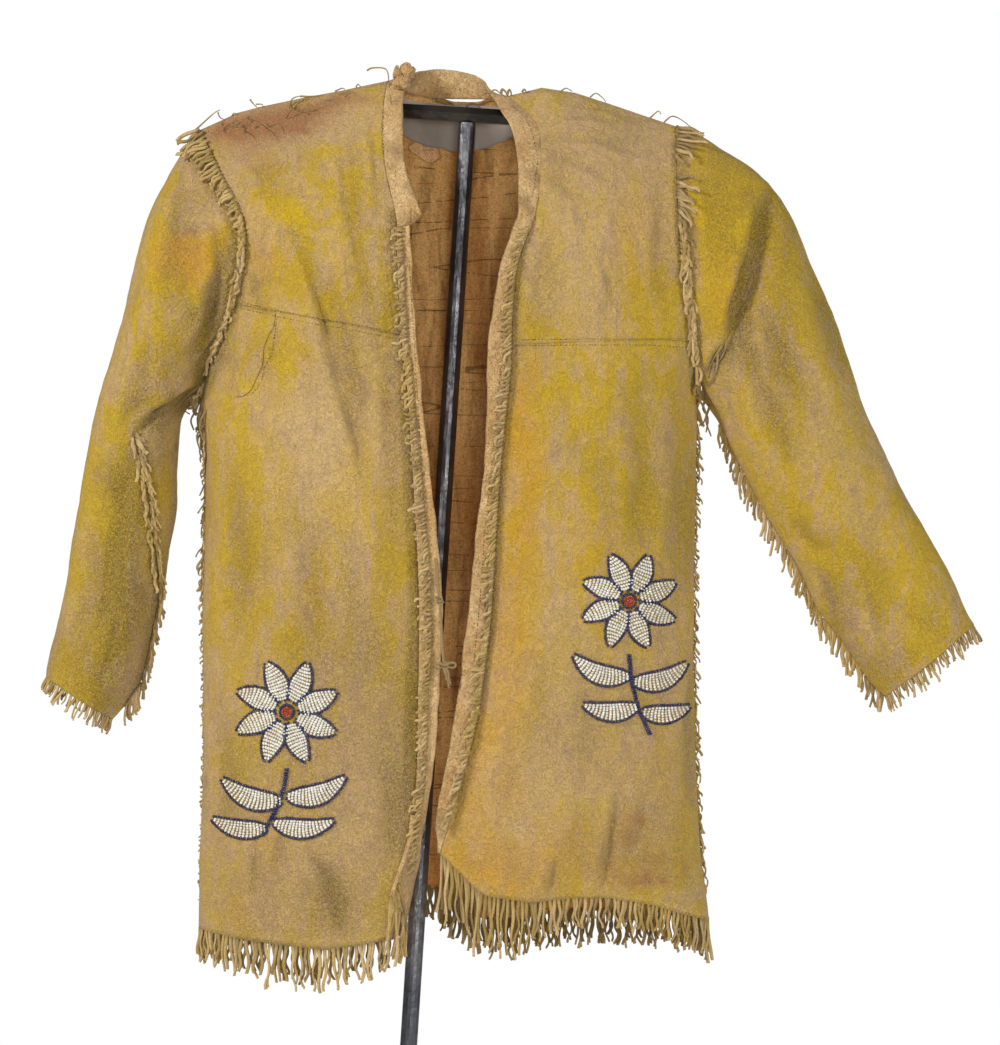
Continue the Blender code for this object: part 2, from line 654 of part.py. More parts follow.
def strip_between(seam, free, seam_normals, columns, bow=0.0):
    """A wall from a seam line to a free edge, thick along the seam's normals at the seam."""
    rows = len(seam)
    outer, inner = [], []
    for r in range(rows):
        ahead, behind = min(r + 1, rows - 1), max(r - 1, 0)
        along = (seam[ahead] + free[ahead]) - (seam[behind] + free[behind])
        across = free[r] - seam[r]
        own = along.cross(across).normalized()
        if own.dot(seam_normals[r]) < 0:
            own = -own
        line = [(seam[r].lerp(free[r], c / columns) + own * bow * math.sin(math.pi * c / columns),
                 seam_normals[r].lerp(own, c / columns).normalized()) for c in range(columns + 1)]
        outer.append([place for place, _ in line])
        inner.append([place - normal * HIDE for place, normal in line])
    return Cloth(outer, inner)


def build_bands(cuts):
    """The folded bands that edge the opening, sewn to the fronts from hem to collar."""
    for side, opening in (("right", RIGHT_OPENING), ("left", LEFT_OPENING)):
        rows = cuts_of(ROWS, 0, COLLAR_ROW)
        seam = [cuts[side].outer[r][0] for r in range(len(rows))]
        normals = [(cuts[side].outer[r][0] - cuts[side].inner[r][0]).normalized() for r in range(len(rows))]
        free = [to_place(spline_point(opening, v)) for v in rows]
        cut = strip_between(seam, free, normals, 2, bow=1.5 * MM)
        wall("front_band_" + side, shorten(cut, "near high"), "band_hide")


def collar_seam(cuts):
    """The line that the collar is sewn to, from the right front round the back of the neck."""
    up = [ROWS.index(v) for v in cuts_of(ROWS, COLLAR_ROW, RIDGE)]
    line = [(cuts["right"], r, 0) for r in up]
    line += [(cuts["back"], up[-1], c) for c in range(COLUMNS + 1, COLUMNS + NECK_COLUMNS)]
    line += [(cuts["left"], r, 0) for r in reversed(up)]
    return [(cut.outer[r][c], (cut.outer[r][c] - cut.inner[r][c]).normalized()) for cut, r, c in line]


def build_collar(cuts):
    seam = collar_seam(cuts)
    cut = strip_between([place for place, _ in seam], [to_place(p) for p in COLLAR_EDGE],
                        [normal for _, normal in seam], 2, bow=1.0 * MM)
    wall("collar", shorten(cut, "near low high"), "band_hide")


def spline_point(points, at):
    return Point(*(spline(column, at) for column in zip(*points)))


def row_index(v):
    """The place among a wall's rows of a row of the body tables."""
    i = max(k for k, row in enumerate(ROWS[:-1]) if row <= v)
    return i + (v - ROWS[i]) / (ROWS[i + 1] - ROWS[i])


def build_facing(cuts):
    """The grey cloth facing inside the back of the neck, made from the back's inner points."""
    back = cuts["back"]
    columns = back_columns()
    outer, inner = [], []
    depth_steps = 4
    for step in range(depth_steps + 1):
        line = []
        for reach in FACING:
            place = next(i for i, s in enumerate(columns[1:]) if s >= reach.share - 1e-9)
            column = place + (reach.share - columns[place]) / (columns[place + 1] - columns[place])
            down = FACING_TOP + (reach.rows - FACING_TOP) * step / depth_steps
            line.append((row_index(RIDGE - down), column))
        outer.append([on_wall(back, row, column, -FACING_LIFT) for row, column in line])
        inner.append([on_wall(back, row, column, -FACING_LIFT - LINING) for row, column in line])
    wall("neck_facing", Cloth(outer, inner), "grey_cloth")


def build_pocket(cuts):
    """The round-ended pocket patch under the right front's yoke seam."""
    front = cuts["right"]
    outer, inner = [], []
    for row in POCKET:
        places = [mix(row.near, row.far, c / POCKET_COLUMNS) * COLUMNS for c in range(POCKET_COLUMNS + 1)]
        at = row_index(YOKE - row.down)
        inner.append([on_wall(front, at, place, POCKET_LIFT) for place in places])
        outer.append([on_wall(front, at, place, POCKET_LIFT + POCKET_HIDE) for place in places])
    wall("pocket", Cloth(outer, inner), "hide")


Root = namedtuple("Root", "place out across")  # a point of a seam, the way its strip stands, and its thin way


def seam_lengths(roots):
    lengths = [0.0]
    for a, b in zip(roots, roots[1:]):
        lengths.append(lengths[-1] + (b.place - a.place).length)
    return lengths


def root_at(roots, lengths, wanted):
    """The root at a length along the seam."""
    for i, (a, b) in enumerate(zip(roots, roots[1:])):
        if wanted <= lengths[i + 1] or i == len(roots) - 2:
            t = (wanted - lengths[i]) / (lengths[i + 1] - lengths[i])
            return Root(a.place.lerp(b.place, t), a.out.lerp(b.out, t).normalized(),
                        a.across.lerp(b.across, t).normalized())


def fringe(name, roots, count, length, lean, gap=STRIP_GAP, bends=1):
    """A strip along a seam with strands cut into its edge. lean gives the strands' ways from their root."""
    lengths = seam_lengths(roots)
    pitch = lengths[-1] / count
    middles = [(i + 0.5) * pitch for i in range(count)]
    corners = [at for at in lengths[1:-1] if min(abs(at - m) for m in middles) > 1.5 * STRAND_HALF]
    stations = sorted([0.0, lengths[-1]] + corners + [m + side * STRAND_HALF for m in middles for side in (-1, 1)])
    shape = bmesh.new()
    rings = []
    for at in stations:
        root = root_at(roots, lengths, at)
        foot = root.place + root.out * gap
        top = foot + root.out * STRIP_HEIGHT
        rings.append([shape.verts.new(place + root.across * side * STRIP_HALF)
                      for place, side in ((foot, -1), (foot, 1), (top, 1), (top, -1))])
    shape.faces.new(rings[0])
    shape.faces.new(list(reversed(rings[-1])))
    grown = 0
    for here, there, low, high in zip(rings, rings[1:], stations, stations[1:]):
        strand = grown < count and low < middles[grown] < high
        for c in range(4):
            d = (c + 1) % 4
            if not (strand and c == 2):
                shape.faces.new((here[c], here[d], there[d], there[c]))
        if strand:
            root = root_at(roots, lengths, middles[grown])
            reach = length(middles[grown] / lengths[-1]) * STRAND_WAVES[grown % len(STRAND_WAVES)]
            grow_strand(shape, [here[2], here[3], there[3], there[2]], lean(root), reach, bends)
            grown += 1
    return finish_mesh(name, shape, "thong", sharp_over=30)


def grow_strand(shape, ring, ways, length, bends):
    """A four-sided strand from a ring of points, in one or more straight lengths."""
    for bend in range(bends):
        centre = sum((v.co for v in ring), Vector()) / 4
        thin = mix(1.0, TIP_SHARE, (bend + 1) / bends)
        after = [shape.verts.new(centre + (v.co - centre) * thin + ways[bend] * length / bends) for v in ring]
        for c in range(4):
            d = (c + 1) % 4
            shape.faces.new((ring[c], ring[d], after[d], after[c]))
        ring = after
    shape.faces.new(ring)


DOWN = Vector((0, 0, -1))


def hanging(*shares):
    """Strands that leave along their root and turn down: shares of down, one for each bend."""
    return lambda root: [root.out.lerp(DOWN, share).normalized() for share in shares]


def seam_roots(points, normals):
    """Roots that stand up along the normals of a line of points."""
    roots = []
    for i, (place, normal) in enumerate(zip(points, normals)):
        along = points[min(i + 1, len(points) - 1)] - points[max(i - 1, 0)]
        roots.append(Root(place, normal, along.cross(normal).normalized()))
    return roots


def build_hem_fringe(cuts):
    for name, count, base in (("right", 18, 38), ("left", 22, 42), ("back", 34, 44)):
        cut = cuts[name]
        roots = [Root((outside + inside) / 2, DOWN, (outside - inside).normalized())
                 for outside, inside in zip(cut.outer[0], cut.inner[0])]
        fringe("hem_fringe_" + name, roots, count, lambda share, base=base: base * MM, hanging(1, 1), bends=2)


def build_cuff_fringe():
    for side, rings in RINGS.items():
        last = len(rings) - 1
        out = (sleeve_middle(side, last) - sleeve_middle(side, last - 1)).normalized()
        roots = []
        for j in ring_places() + [RING_POINTS - 0.01]:
            normal = sleeve_normal(side, j, last)
            roots.append(Root(sleeve_point(side, last, j) - normal * HIDE / 2, out, normal))
        fringe("cuff_fringe_" + side, roots, 14, lambda share: 19 * MM, hanging(0.25))


def build_armhole_fringe():
    """The fringe of the sleeve seams, from under each arm over the shoulder."""
    for side in RINGS:
        places = [j for j in ring_places() if 2 <= j <= RING_POINTS - 2]
        outward = Vector((-1 if side == "right" else 1, 0, 0))
        fringe("armhole_fringe_" + side,
               seam_roots([armhole_point(side, j) for j in places], [armhole_normal(side, j) for j in places]), 17,
               lambda share: mix(9, 24, 1 - abs(2 * share - 1)) * MM,
               lambda root, outward=outward: [(root.out * 0.8 + outward * 0.5 + DOWN * 0.2).normalized()],
               gap=0.9 * MM)


Seam = namedtuple("Seam", "ring place")  # where a sleeve's under seam runs: its ring, and its place round it
RIGHT_UNDER = (Seam(4.3, 2.2), Seam(5, 1.6), Seam(6, 1.1), Seam(7, 0.7), Seam(8, 0.5), Seam(9, 0.4),
               Seam(10, 0.3), Seam(10.8, 0.2))
LEFT_UNDER = (Seam(3.5, 0), Seam(5, 0), Seam(6, 0), Seam(7, 0), Seam(8, 0), Seam(9, 0), Seam(10, 0),
              Seam(11, 0), Seam(12, 0), Seam(12.7, 0))


def build_sleeve_fringe():
    for side, seam, count in (("right", RIGHT_UNDER, 16), ("left", LEFT_UNDER, 19)):
        places = [sleeve_point(side, point.ring, point.place) for point in seam]
        normals = [sleeve_normal(side, point.place, point.ring) for point in seam]
        fringe("sleeve_fringe_" + side, seam_roots(places, normals), count, lambda share: 24 * MM,
               hanging(0.55), gap=0.8 * MM)


def build_side_fringe(cuts):
    for side in FRONTS:
        sign = -1 if side == "right" else 1
        column = [cuts[side].outer[r][-1] for r in range(1, ARMPIT)]
        fringe("side_fringe_" + side, seam_roots(column, [Vector((sign, 0, 0))] * len(column)), 11,
               lambda share: 12 * MM, hanging(0.5), gap=0.7 * MM)


def build_edge_fringe(cuts):
    """The short fringe that stands beside the seam between each front and its band."""
    for side in FRONTS:
        cut = cuts[side]
        rows = [row_index(v) for v in range(1, COLLAR_ROW)]
        places = [on_wall(cut, r, EDGE_FRINGE_COLUMN, 0.0) for r in rows]
        normals = [on_wall(cut, r, EDGE_FRINGE_COLUMN, 1.0) - place for r, place in zip(rows, places)]
        fringe("edge_fringe_" + side, seam_roots(places, normals), 24, lambda share: 8 * MM, hanging(0.5),
               gap=0.8 * MM)


def build_tie():
    """A round-sided thong through the tie's stations."""
    shape = bmesh.new()
    middles = [to_place(station) for station in TIE]
    rings = []
    for i, (centre, station) in enumerate(zip(middles, TIE)):
        along = (middles[min(i + 1, len(TIE) - 1)] - middles[max(i - 1, 0)]).normalized()
        side = along.cross(Vector((0, 1, 0))).normalized()
        front = side.cross(along)
        rings.append([shape.verts.new(centre + (side * math.cos(a) + front * math.sin(a)) * station.radius * MM)
                      for a in (2 * math.pi * k / TIE_SIDES for k in range(TIE_SIDES))])
    bridge_rings(shape, rings)
    finish_mesh("tie", shape, "thong")


def bridge_rings(shape, rings):
    """Sides between rings of points, and a face over each end."""
    count = len(rings[0])
    for here, there in zip(rings, rings[1:]):
        for c in range(count):
            d = (c + 1) % count
            shape.faces.new((here[c], here[d], there[d], there[c]))
    shape.faces.new(list(reversed(rings[0])))
    shape.faces.new(rings[-1])


def leaning(height):
    """The middle of the pole at a height."""
    return Vector((POLE_LEAN * height / POLE_HEIGHT, 0, height))


def round_solid(name, low, high, radius, sides, bevel=0.0, tilt=0.0):
    """A round bar between two points, with a level foot and a top that leans with the pole."""
    shape = bmesh.new()
    rings = [[shape.verts.new(centre + Vector((math.cos(a) * radius, math.sin(a) * radius,
                                               -math.cos(a) * radius * lean)))
              for a in (2 * math.pi * k / sides for k in range(sides))]
             for centre, lean in ((low, 0.0), (high, tilt))]
    bridge_rings(shape, rings)
    if bevel:
        top = set(rings[1])
        rim = [edge for edge in shape.edges if set(edge.verts) <= top]
        bmesh.ops.bevel(shape, geom=rim, offset=bevel, segments=2, affect="EDGES")
    return finish_mesh(name, shape, "iron")


def build_bar():
    """The cross bar over the pole, its arms running out under the shoulders."""
    shape = bmesh.new()
    rings = [[shape.verts.new(Vector((station.x * MM + COAT_X, y * BAR_DEPTH / 2,
                                      station.top * MM - BAR_HEIGHT * (1 - z) / 2)))
              for y, z in BAR_SECTION] for station in BAR]
    bridge_rings(shape, rings)
    finish_mesh("stand_bar", shape, "iron")


def build_stand():
    gap = 1.5 * SEAM
    tilt = POLE_LEAN / POLE_HEIGHT
    round_solid("stand_foot", Vector((0, 0, 0)), Vector((0, 0, FOOT_THICKNESS)), FOOT_RADIUS, 48, FOOT_BEVEL)
    socket_top = FOOT_THICKNESS + gap + SOCKET_HEIGHT
    round_solid("stand_socket", leaning(FOOT_THICKNESS + gap), leaning(socket_top), SOCKET_RADIUS, 24, 3 * MM)
    round_solid("stand_pole", leaning(socket_top + gap), leaning(POLE_HEIGHT), POLE_RADIUS, 16, tilt=tilt)
    build_bar()


def main():
    clear_scene()
    cuts = build_body()
    build_sleeves()
    build_bands(cuts)
    build_collar(cuts)
    build_facing(cuts)
    build_pocket(cuts)
    build_hem_fringe(cuts)
    build_cuff_fringe()
    build_armhole_fringe()
    build_sleeve_fringe()
    build_side_fringe(cuts)
    build_edge_fringe(cuts)
    build_tie()
    build_stand()


main()
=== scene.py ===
"""Looks of the fringed hide coat on its leaning T-bar stand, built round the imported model.

Metres, +Z up, origin at the centre of the foot's underside. The coat faces -Y, so the wearer's right side is
at -X. Tables hold millimetres from the coat's own centre line and the floor, as in the model's source, or
photograph pixels where they say so. Sheets, fringe, beads and stitches all sit on the same named surfaces.
"""
import math
from collections import namedtuple

import bmesh
import bpy
import numpy as np
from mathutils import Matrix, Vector, noise
from mathutils.bvhtree import BVHTree


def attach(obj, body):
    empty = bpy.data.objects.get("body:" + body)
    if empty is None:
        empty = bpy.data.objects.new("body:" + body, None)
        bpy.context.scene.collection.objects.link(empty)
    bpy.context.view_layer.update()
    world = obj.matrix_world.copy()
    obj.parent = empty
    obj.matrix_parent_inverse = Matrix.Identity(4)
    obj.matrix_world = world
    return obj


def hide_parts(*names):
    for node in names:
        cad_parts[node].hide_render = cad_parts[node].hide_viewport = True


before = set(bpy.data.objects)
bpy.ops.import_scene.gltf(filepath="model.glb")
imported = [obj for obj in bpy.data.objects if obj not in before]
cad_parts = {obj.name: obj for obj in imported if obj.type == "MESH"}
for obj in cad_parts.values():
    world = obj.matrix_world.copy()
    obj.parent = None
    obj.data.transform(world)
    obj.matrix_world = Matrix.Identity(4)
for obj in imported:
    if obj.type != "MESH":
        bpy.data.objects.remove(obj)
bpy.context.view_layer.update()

MM = 0.001
RANDOM = np.random.default_rng(7)

# The camera stands level, square to the front, as the photograph was taken
CAMERA_PLACE = (0.12225, -5.0, 0.962)
CAMERA_LENS = 164.05
CAMERA_FAR = 5000  # millimetres from the camera to the coat's mid plane
PHOTO_X, PHOTO_Y = 500, 522.5  # the photograph's middle in pixels
AIM_X, AIM_Z = 47.25, 961.6  # the same place in millimetres of the coat
PIXEL_MM = 1.05  # a pixel of the photograph on the coat's mid plane
PIXEL = PIXEL_MM * MM

# Driving sizes of the cloth, as in the model's source
HIDE = 2.4 * MM
LINING = 1.0 * MM
POCKET_HIDE = 1.2 * MM
FACING_TOP = 0.32  # rows from the shoulder seam down to the facing's top
COAT_X = 75 * MM  # the coat's centre line, right of the foot's
SEAM = 0.2 * MM

ARMPIT = 7  # row of the body tables where the side seam meets the armhole
YOKE = 9  # row of the seam that joins the upper pieces to the lower ones
COLLAR_ROW = 12  # row where the collar starts
RIDGE = 15  # row of the shoulder seam

# A front panel, hem first: its edge along the opening and neck, and its side seam and armhole.
Row = namedtuple("Row", "edge_x edge_z edge_y side_x side_z side_y")
RIGHT_ROWS = (
    Row(-66, 532, -80, -268, 538, 0),
    Row(-51, 612, -90, -266, 615, 0),
    Row(-39, 696, -95, -264, 691, 0),
    Row(-37, 779, -96, -264, 775, 0),
    Row(-36, 872, -96, -265, 867, 0),
    Row(-39, 954, -95, -263, 954, 0),
    Row(-44, 1031, -93, -262, 1032, 0),
    Row(-47, 1088, -92, -268, 1088, 0),
    Row(-51, 1124, -91, -249, 1147, -34),
    Row(-54, 1155, -90, -231, 1189, -48),
    Row(-57, 1201, -88, -220, 1231, -55),
    Row(-59, 1243, -84, -217, 1263, -60),
    Row(-60, 1282, -78, -223, 1290, -56),
    Row(-72, 1332, -60, -240, 1321, -43),
    Row(-75, 1381, -34, -256, 1351, -24),
    Row(-70, 1426, 0, -268, 1374, 0),
)
LEFT_ROWS = (
    Row(-14, 621, -80, 264, 546, 0),
    Row(-2, 660, -90, 257, 623, 0),
    Row(12, 710, -95, 253, 702, 0),
    Row(27, 779, -96, 251, 780, 0),
    Row(38, 866, -96, 250, 864, 0),
    Row(43, 949, -95, 252, 948, 0),
    Row(49, 1031, -93, 253, 1032, 0),
    Row(55, 1088, -92, 255, 1090, 0),
    Row(58, 1117, -91, 252, 1123, -32),
    Row(59, 1145, -90, 248, 1153, -47),
    Row(61, 1191, -88, 241, 1195, -53),
    Row(66, 1231, -84, 236, 1236, -58),
    Row(83, 1282, -74, 233, 1277, -55),
    Row(90, 1333, -56, 232, 1318, -43),
    Row(85, 1379, -32, 232, 1354, -24),
    Row(56, 1410, 0, 232, 1378, 0),
)
# How far the back panel stands behind the coat's mid plane, row by row, and how much further at the neck.
BACK_DEPTH = (95, 97, 97, 96, 94, 92, 90, 88, 86, 85, 83, 80, 74, 60, 35, 0)
NECK_DEPTH = (0, 0, 0, 0, 0, 0, 0, 0, 0, 0, 0, 0, 2, 12, 30, 54)

# Rise of a row's middle over the straight line between its ends: share of the width, and height.
RIGHT_HEM = ((0, 0), (0.15, -7), (0.33, -14), (0.55, -11), (0.8, -6), (1, 0))
LEFT_HEM = ((0, 0), (0.08, -17), (0.16, -32), (0.34, -27), (0.5, -11), (0.62, -1),
            (0.8, 3), (1, 0))
RIGHT_SHOULDER = ((0, 0), (0.25, 2.4), (0.45, 5.4), (0.68, 7.8), (0.8, 7.8), (0.88, 4.5),
                  (1, 0))
LEFT_SHOULDER = ((0, 0), (0.2, 15), (0.4, 16), (0.6, 11), (0.85, 4), (1, 0))
# The same for the hem of the back, by share of its half width. Minus is the right half.
BACK_HEM = ((-1, 0), (-0.3, 8), (-0.14, 28), (-0.05, 30), (0, 14), (0.08, -6),
            (0.15, -7), (0.24, 0), (0.33, 4), (1, 0))
HEM_REACH = 3.0  # rows over which the hem's line fades out
SHOULDER_REACH = 5.0
NECK_DIP = 5  # drop of the back neck under its two neck points

# The sleeves from armhole to cuff: their outer and inner line seen from the front, and half their depth.
Ring = namedtuple("Ring", "outer_x outer_z inner_x inner_z depth")
RIGHT_RINGS = (
    Ring(-268, 1374, -268, 1088, 60),
    Ring(-297, 1337, -279, 1086, 64),
    Ring(-320, 1293, -285, 1078, 64),
    Ring(-338, 1216, -289, 1059, 62),
    Ring(-357, 1148, -291, 1036, 60),
    Ring(-375, 1090, -292, 1008, 58),
    Ring(-387, 1032, -293, 977, 56),
    Ring(-398, 964, -299, 938, 54),
    Ring(-407, 906, -304, 891, 52),
    Ring(-417, 856, -314, 844, 50),
    Ring(-425, 824, -331, 792, 46),
    Ring(-430, 802, -361, 757, 44),
)
LEFT_RINGS = (
    Ring(232, 1378, 255, 1090, 60),
    Ring(276, 1360, 259, 1088, 64),
    Ring(320, 1334, 266, 1078, 64),
    Ring(354, 1279, 280, 1057, 62),
    Ring(375, 1229, 297, 1029, 60),
    Ring(394, 1187, 312, 1000, 58),
    Ring(411, 1138, 329, 970, 56),
    Ring(424, 1092, 344, 941, 54),
    Ring(442, 1054, 361, 910, 52),
    Ring(466, 1004, 381, 874, 50),
    Ring(495, 954, 402, 845, 48),
    Ring(517, 912, 421, 815, 47),
    Ring(533, 875, 438, 792, 46),
    Ring(543, 855, 453, 782, 46),
)
ARMHOLE_REACH = 2.6  # rings over which the armhole's shape passes into the sleeve's own
RING_POINTS = 2 * (RIDGE - ARMPIT)

# The largest folds: a line seen from the front, its half width and how deep it sinks. Minus stands proud.
Fold = namedtuple("Fold", "x0 z0 x1 z1 width depth")
FRONT_FOLDS = (
    Fold(-155, 1290, -70, 950, 14, 5),
    Fold(-120, 1240, -105, 1090, 12, -4),
    Fold(130, 1000, 105, 760, 22, 4),
    Fold(205, 1120, 190, 900, 16, 4),
    Fold(-160, 740, -175, 560, 14, 4),
)
BACK_FOLDS = (
    Fold(-120, 1180, -90, 760, 22, 6),
    Fold(60, 1200, 90, 820, 24, 6),
    Fold(-10, 900, -30, 620, 26, 5),
)
SLEEVE_FOLDS = (
    Fold(330, 1296, 285, 1140, 13, 16),
    Fold(308, 1290, 266, 1150, 12, -7),
    Fold(-246, 1200, -262, 1110, 12, 10),
    Fold(-352, 1030, -384, 830, 20, 9),
    Fold(430, 960, 470, 880, 18, 6),
)

# The bands that edge the opening: their free edge, bottom first, one point for each body row, as x, z and y.
RIGHT_OPENING = (
    (-52, 536, -52), (-37, 610, -70), (-24, 696, -93), (-17, 779, -101),
    (-13, 872, -102), (-19, 954, -101), (-28, 1031, -99), (-34, 1088, -97),
    (-37, 1124, -96), (-41, 1155, -95), (-44, 1201, -93), (-46, 1243, -90),
    (-48, 1278, -84),
)
LEFT_OPENING = (
    (-21, 620, -72), (-18, 664, -90), (-8, 710, -99), (3, 779, -102),
    (15, 866, -102), (23, 949, -101), (32, 1031, -99), (34, 1088, -97),
    (34, 1117, -96), (35, 1145, -95), (42, 1191, -93), (49, 1231, -90),
    (65, 1278, -82),
)
# The collar's free edge, one point for each of its seam's: up the right front, round the back, down the left,
# as x, z and y.
COLLAR_EDGE = (
    (-37, 1287, -84), (-52, 1332, -70), (-55, 1378, -46), (-54, 1408, -28),
    (-49, 1428, -4), (-42, 1437, 30), (-25, 1441, 50), (-4, 1441, 56),
    (16, 1437, 50), (31, 1427, 28), (40, 1409, -2), (51, 1390, -28),
    (63, 1366, -46), (67, 1328, -64), (67, 1287, -80),
)
# Where the back has torn from the collar: how far its edge has dropped.
NECK_TEAR = ((-60, 0.5), (-30, 0.6), (-10, 1.5), (-2, 5.5), (24, 5.5), (33, 1), (45, 0.5))

# The grey facing inside the back of the neck: how many rows down it reaches, evenly across.
FACING = (1.24, 1.42, 1.60, 1.69, 1.71, 1.69, 1.60, 1.40, 1.20)
FACING_HALF = 0.30  # its half width as a share of half the back's

# The chest pocket on the right front: distance down from the yoke seam, and where its two sides lie.
Pocket = namedtuple("Pocket", "down near far")
POCKET = (Pocket(0.06, 0.70, 0.945), Pocket(0.4, 0.668, 0.90), Pocket(0.7, 0.65, 0.86),
          Pocket(1.0, 0.629, 0.82), Pocket(1.3, 0.592, 0.755), Pocket(1.55, 0.577, 0.715),
          Pocket(1.73, 0.572, 0.69), Pocket(1.84, 0.58, 0.67), Pocket(1.92, 0.6, 0.65))

# The hide tie that hangs at the right front's edge, as x, z and y.
TIE = ((-18.5, 925, -103.4), (-17.5, 908, -104.5), (-15.8, 890, -107),
       (-14.7, 882, -109), (-14.2, 876, -109), (-13, 856, -108.5),
       (-12, 836, -108), (-11, 824, -108), (-9.5, 815, -108),
       (-8, 808, -107.5), (-6.5, 800, -107), (-5, 792, -106))


def mix(a, b, share):
    return a + (b - a) * share


def smooth(low, high, value):
    share = min(1.0, max(0.0, (value - low) / (high - low)))
    return share * share * (3 - 2 * share)


def spline(values, at):
    """The value at a fractional place in a list, on a curve through its members."""
    last = len(values) - 1
    at = min(max(at, 0.0), float(last))
    i = min(int(at), last - 1)
    t = at - i
    p1, p2 = values[i], values[i + 1]
    p0 = values[i - 1] if i else 2 * p1 - p2
    p3 = values[i + 2] if i + 2 <= last else 2 * p2 - p1
    return 0.5 * (2 * p1 + (p2 - p0) * t + (2 * p0 - 5 * p1 + 4 * p2 - p3) * t * t
                  + (3 * p1 - 3 * p2 + p3 - p0) * t ** 3)


def table_at(rows, at):
    """A table's row at a fractional place, as a row of the same kind."""
    return type(rows[0])(*(spline(column, at) for column in zip(*rows)))


def table_between(rows, share):
    """The second column of a two-column table where the first has this value."""
    for low, high in zip(rows, rows[1:]):
        if share <= high[0]:
            return mix(low[1], high[1], (share - low[0]) / (high[0] - low[0]))
    return rows[-1][1]


def fold_depth(folds, x, z):
    """How far the folds sink the hide at this place, in millimetres, fading towards the end of each."""
    total = 0.0
    for fold in folds:
        along_x, along_z = fold.x1 - fold.x0, fold.z1 - fold.z0
        length2 = along_x ** 2 + along_z ** 2
        t = ((x - fold.x0) * along_x + (z - fold.z0) * along_z) / length2
        held = min(1.0, max(0.0, t))
        away = math.hypot(x - fold.x0 - held * along_x, z - fold.z0 - held * along_z)
        fade = 0.35 + 0.65 * math.sin(math.pi * held)
        total += fold.depth * fade * math.exp(-((away / fold.width) ** 2))
    return total


def mirrored_ridge(rows):
    """The rows and one beyond the shoulder seam, so that the hide rolls over it."""
    over = rows[-2]
    return rows + (over._replace(edge_y=-over.edge_y, side_y=-over.side_y),)


FRONTS = {
    "right": (mirrored_ridge(RIGHT_ROWS), RIGHT_HEM, RIGHT_SHOULDER),
    "left": (mirrored_ridge(LEFT_ROWS), LEFT_HEM, LEFT_SHOULDER),
}


def roundness(v):
    """How much a row rounds away at its side seam: wholly below the armpit, not at all at the shoulder."""
    return 1 - smooth(ARMPIT - 1, ARMPIT + 3, v)


def row_rise(hem, shoulder, share, v):
    rise = table_between(hem, share) * max(0.0, 1 - v / HEM_REACH) ** 2
    near = max(0.0, 1 - (RIDGE - min(v, RIDGE)) / SHOULDER_REACH)
    return rise + table_between(shoulder, share) * near ** 1.5


def front_mm(side, u, v):
    """A point of a front panel in millimetres: u runs from the opening to the side, v from hem to shoulder."""
    rows, hem, shoulder = FRONTS[side]
    row = table_at(rows, v)
    share = mix(u, math.sin(u * math.pi / 2), roundness(v))
    hold = max(0.0, math.cos(min(u, 1.0) * math.pi / 2)) ** mix(1.0, 0.8, roundness(v))
    x = mix(row.edge_x, row.side_x, share)
    y = mix(row.side_y, row.edge_y, hold) - 6 * math.sin(math.pi * min(u, 1.0)) * smooth(15, 11, v)
    z = mix(row.edge_z, row.side_z, share) + row_rise(hem, shoulder, share, v)
    return x, y, z


def smooth_fall(u):
    """Folds die out towards a panel's seams."""
    return min(1.0, 8 * u) * min(1.0, 6 * (1 - u))


def front_point(side, u, v):
    x, y, z = front_mm(side, u, v)
    y += fold_depth(FRONT_FOLDS, x, z) * smooth_fall(u)
    return Vector((x * MM + COAT_X, y * MM, z * MM))


NECK_SHARE = 0.244  # half the neck's width as a share of half the back's


def back_top(side, share):
    """The back's top line at a share of its half width: along the neck, then along the shoulder seam."""
    rows, _, shoulder = FRONTS[side]
    seam = rows[RIDGE]
    middle_z = mix(RIGHT_ROWS[RIDGE].edge_z, LEFT_ROWS[RIDGE].edge_z, 0.5) - NECK_DIP
    middle_x = mix(RIGHT_ROWS[RIDGE].edge_x, LEFT_ROWS[RIDGE].edge_x, 0.5)
    if share < NECK_SHARE:
        t = share / NECK_SHARE
        x = mix(middle_x, seam.edge_x, t)
        return x, mix(middle_z, seam.edge_z, t * t)
    t = (share - NECK_SHARE) / (1 - NECK_SHARE)
    z = mix(seam.edge_z, seam.side_z, t) + table_between(shoulder, t)
    return mix(seam.edge_x, seam.side_x, t), z


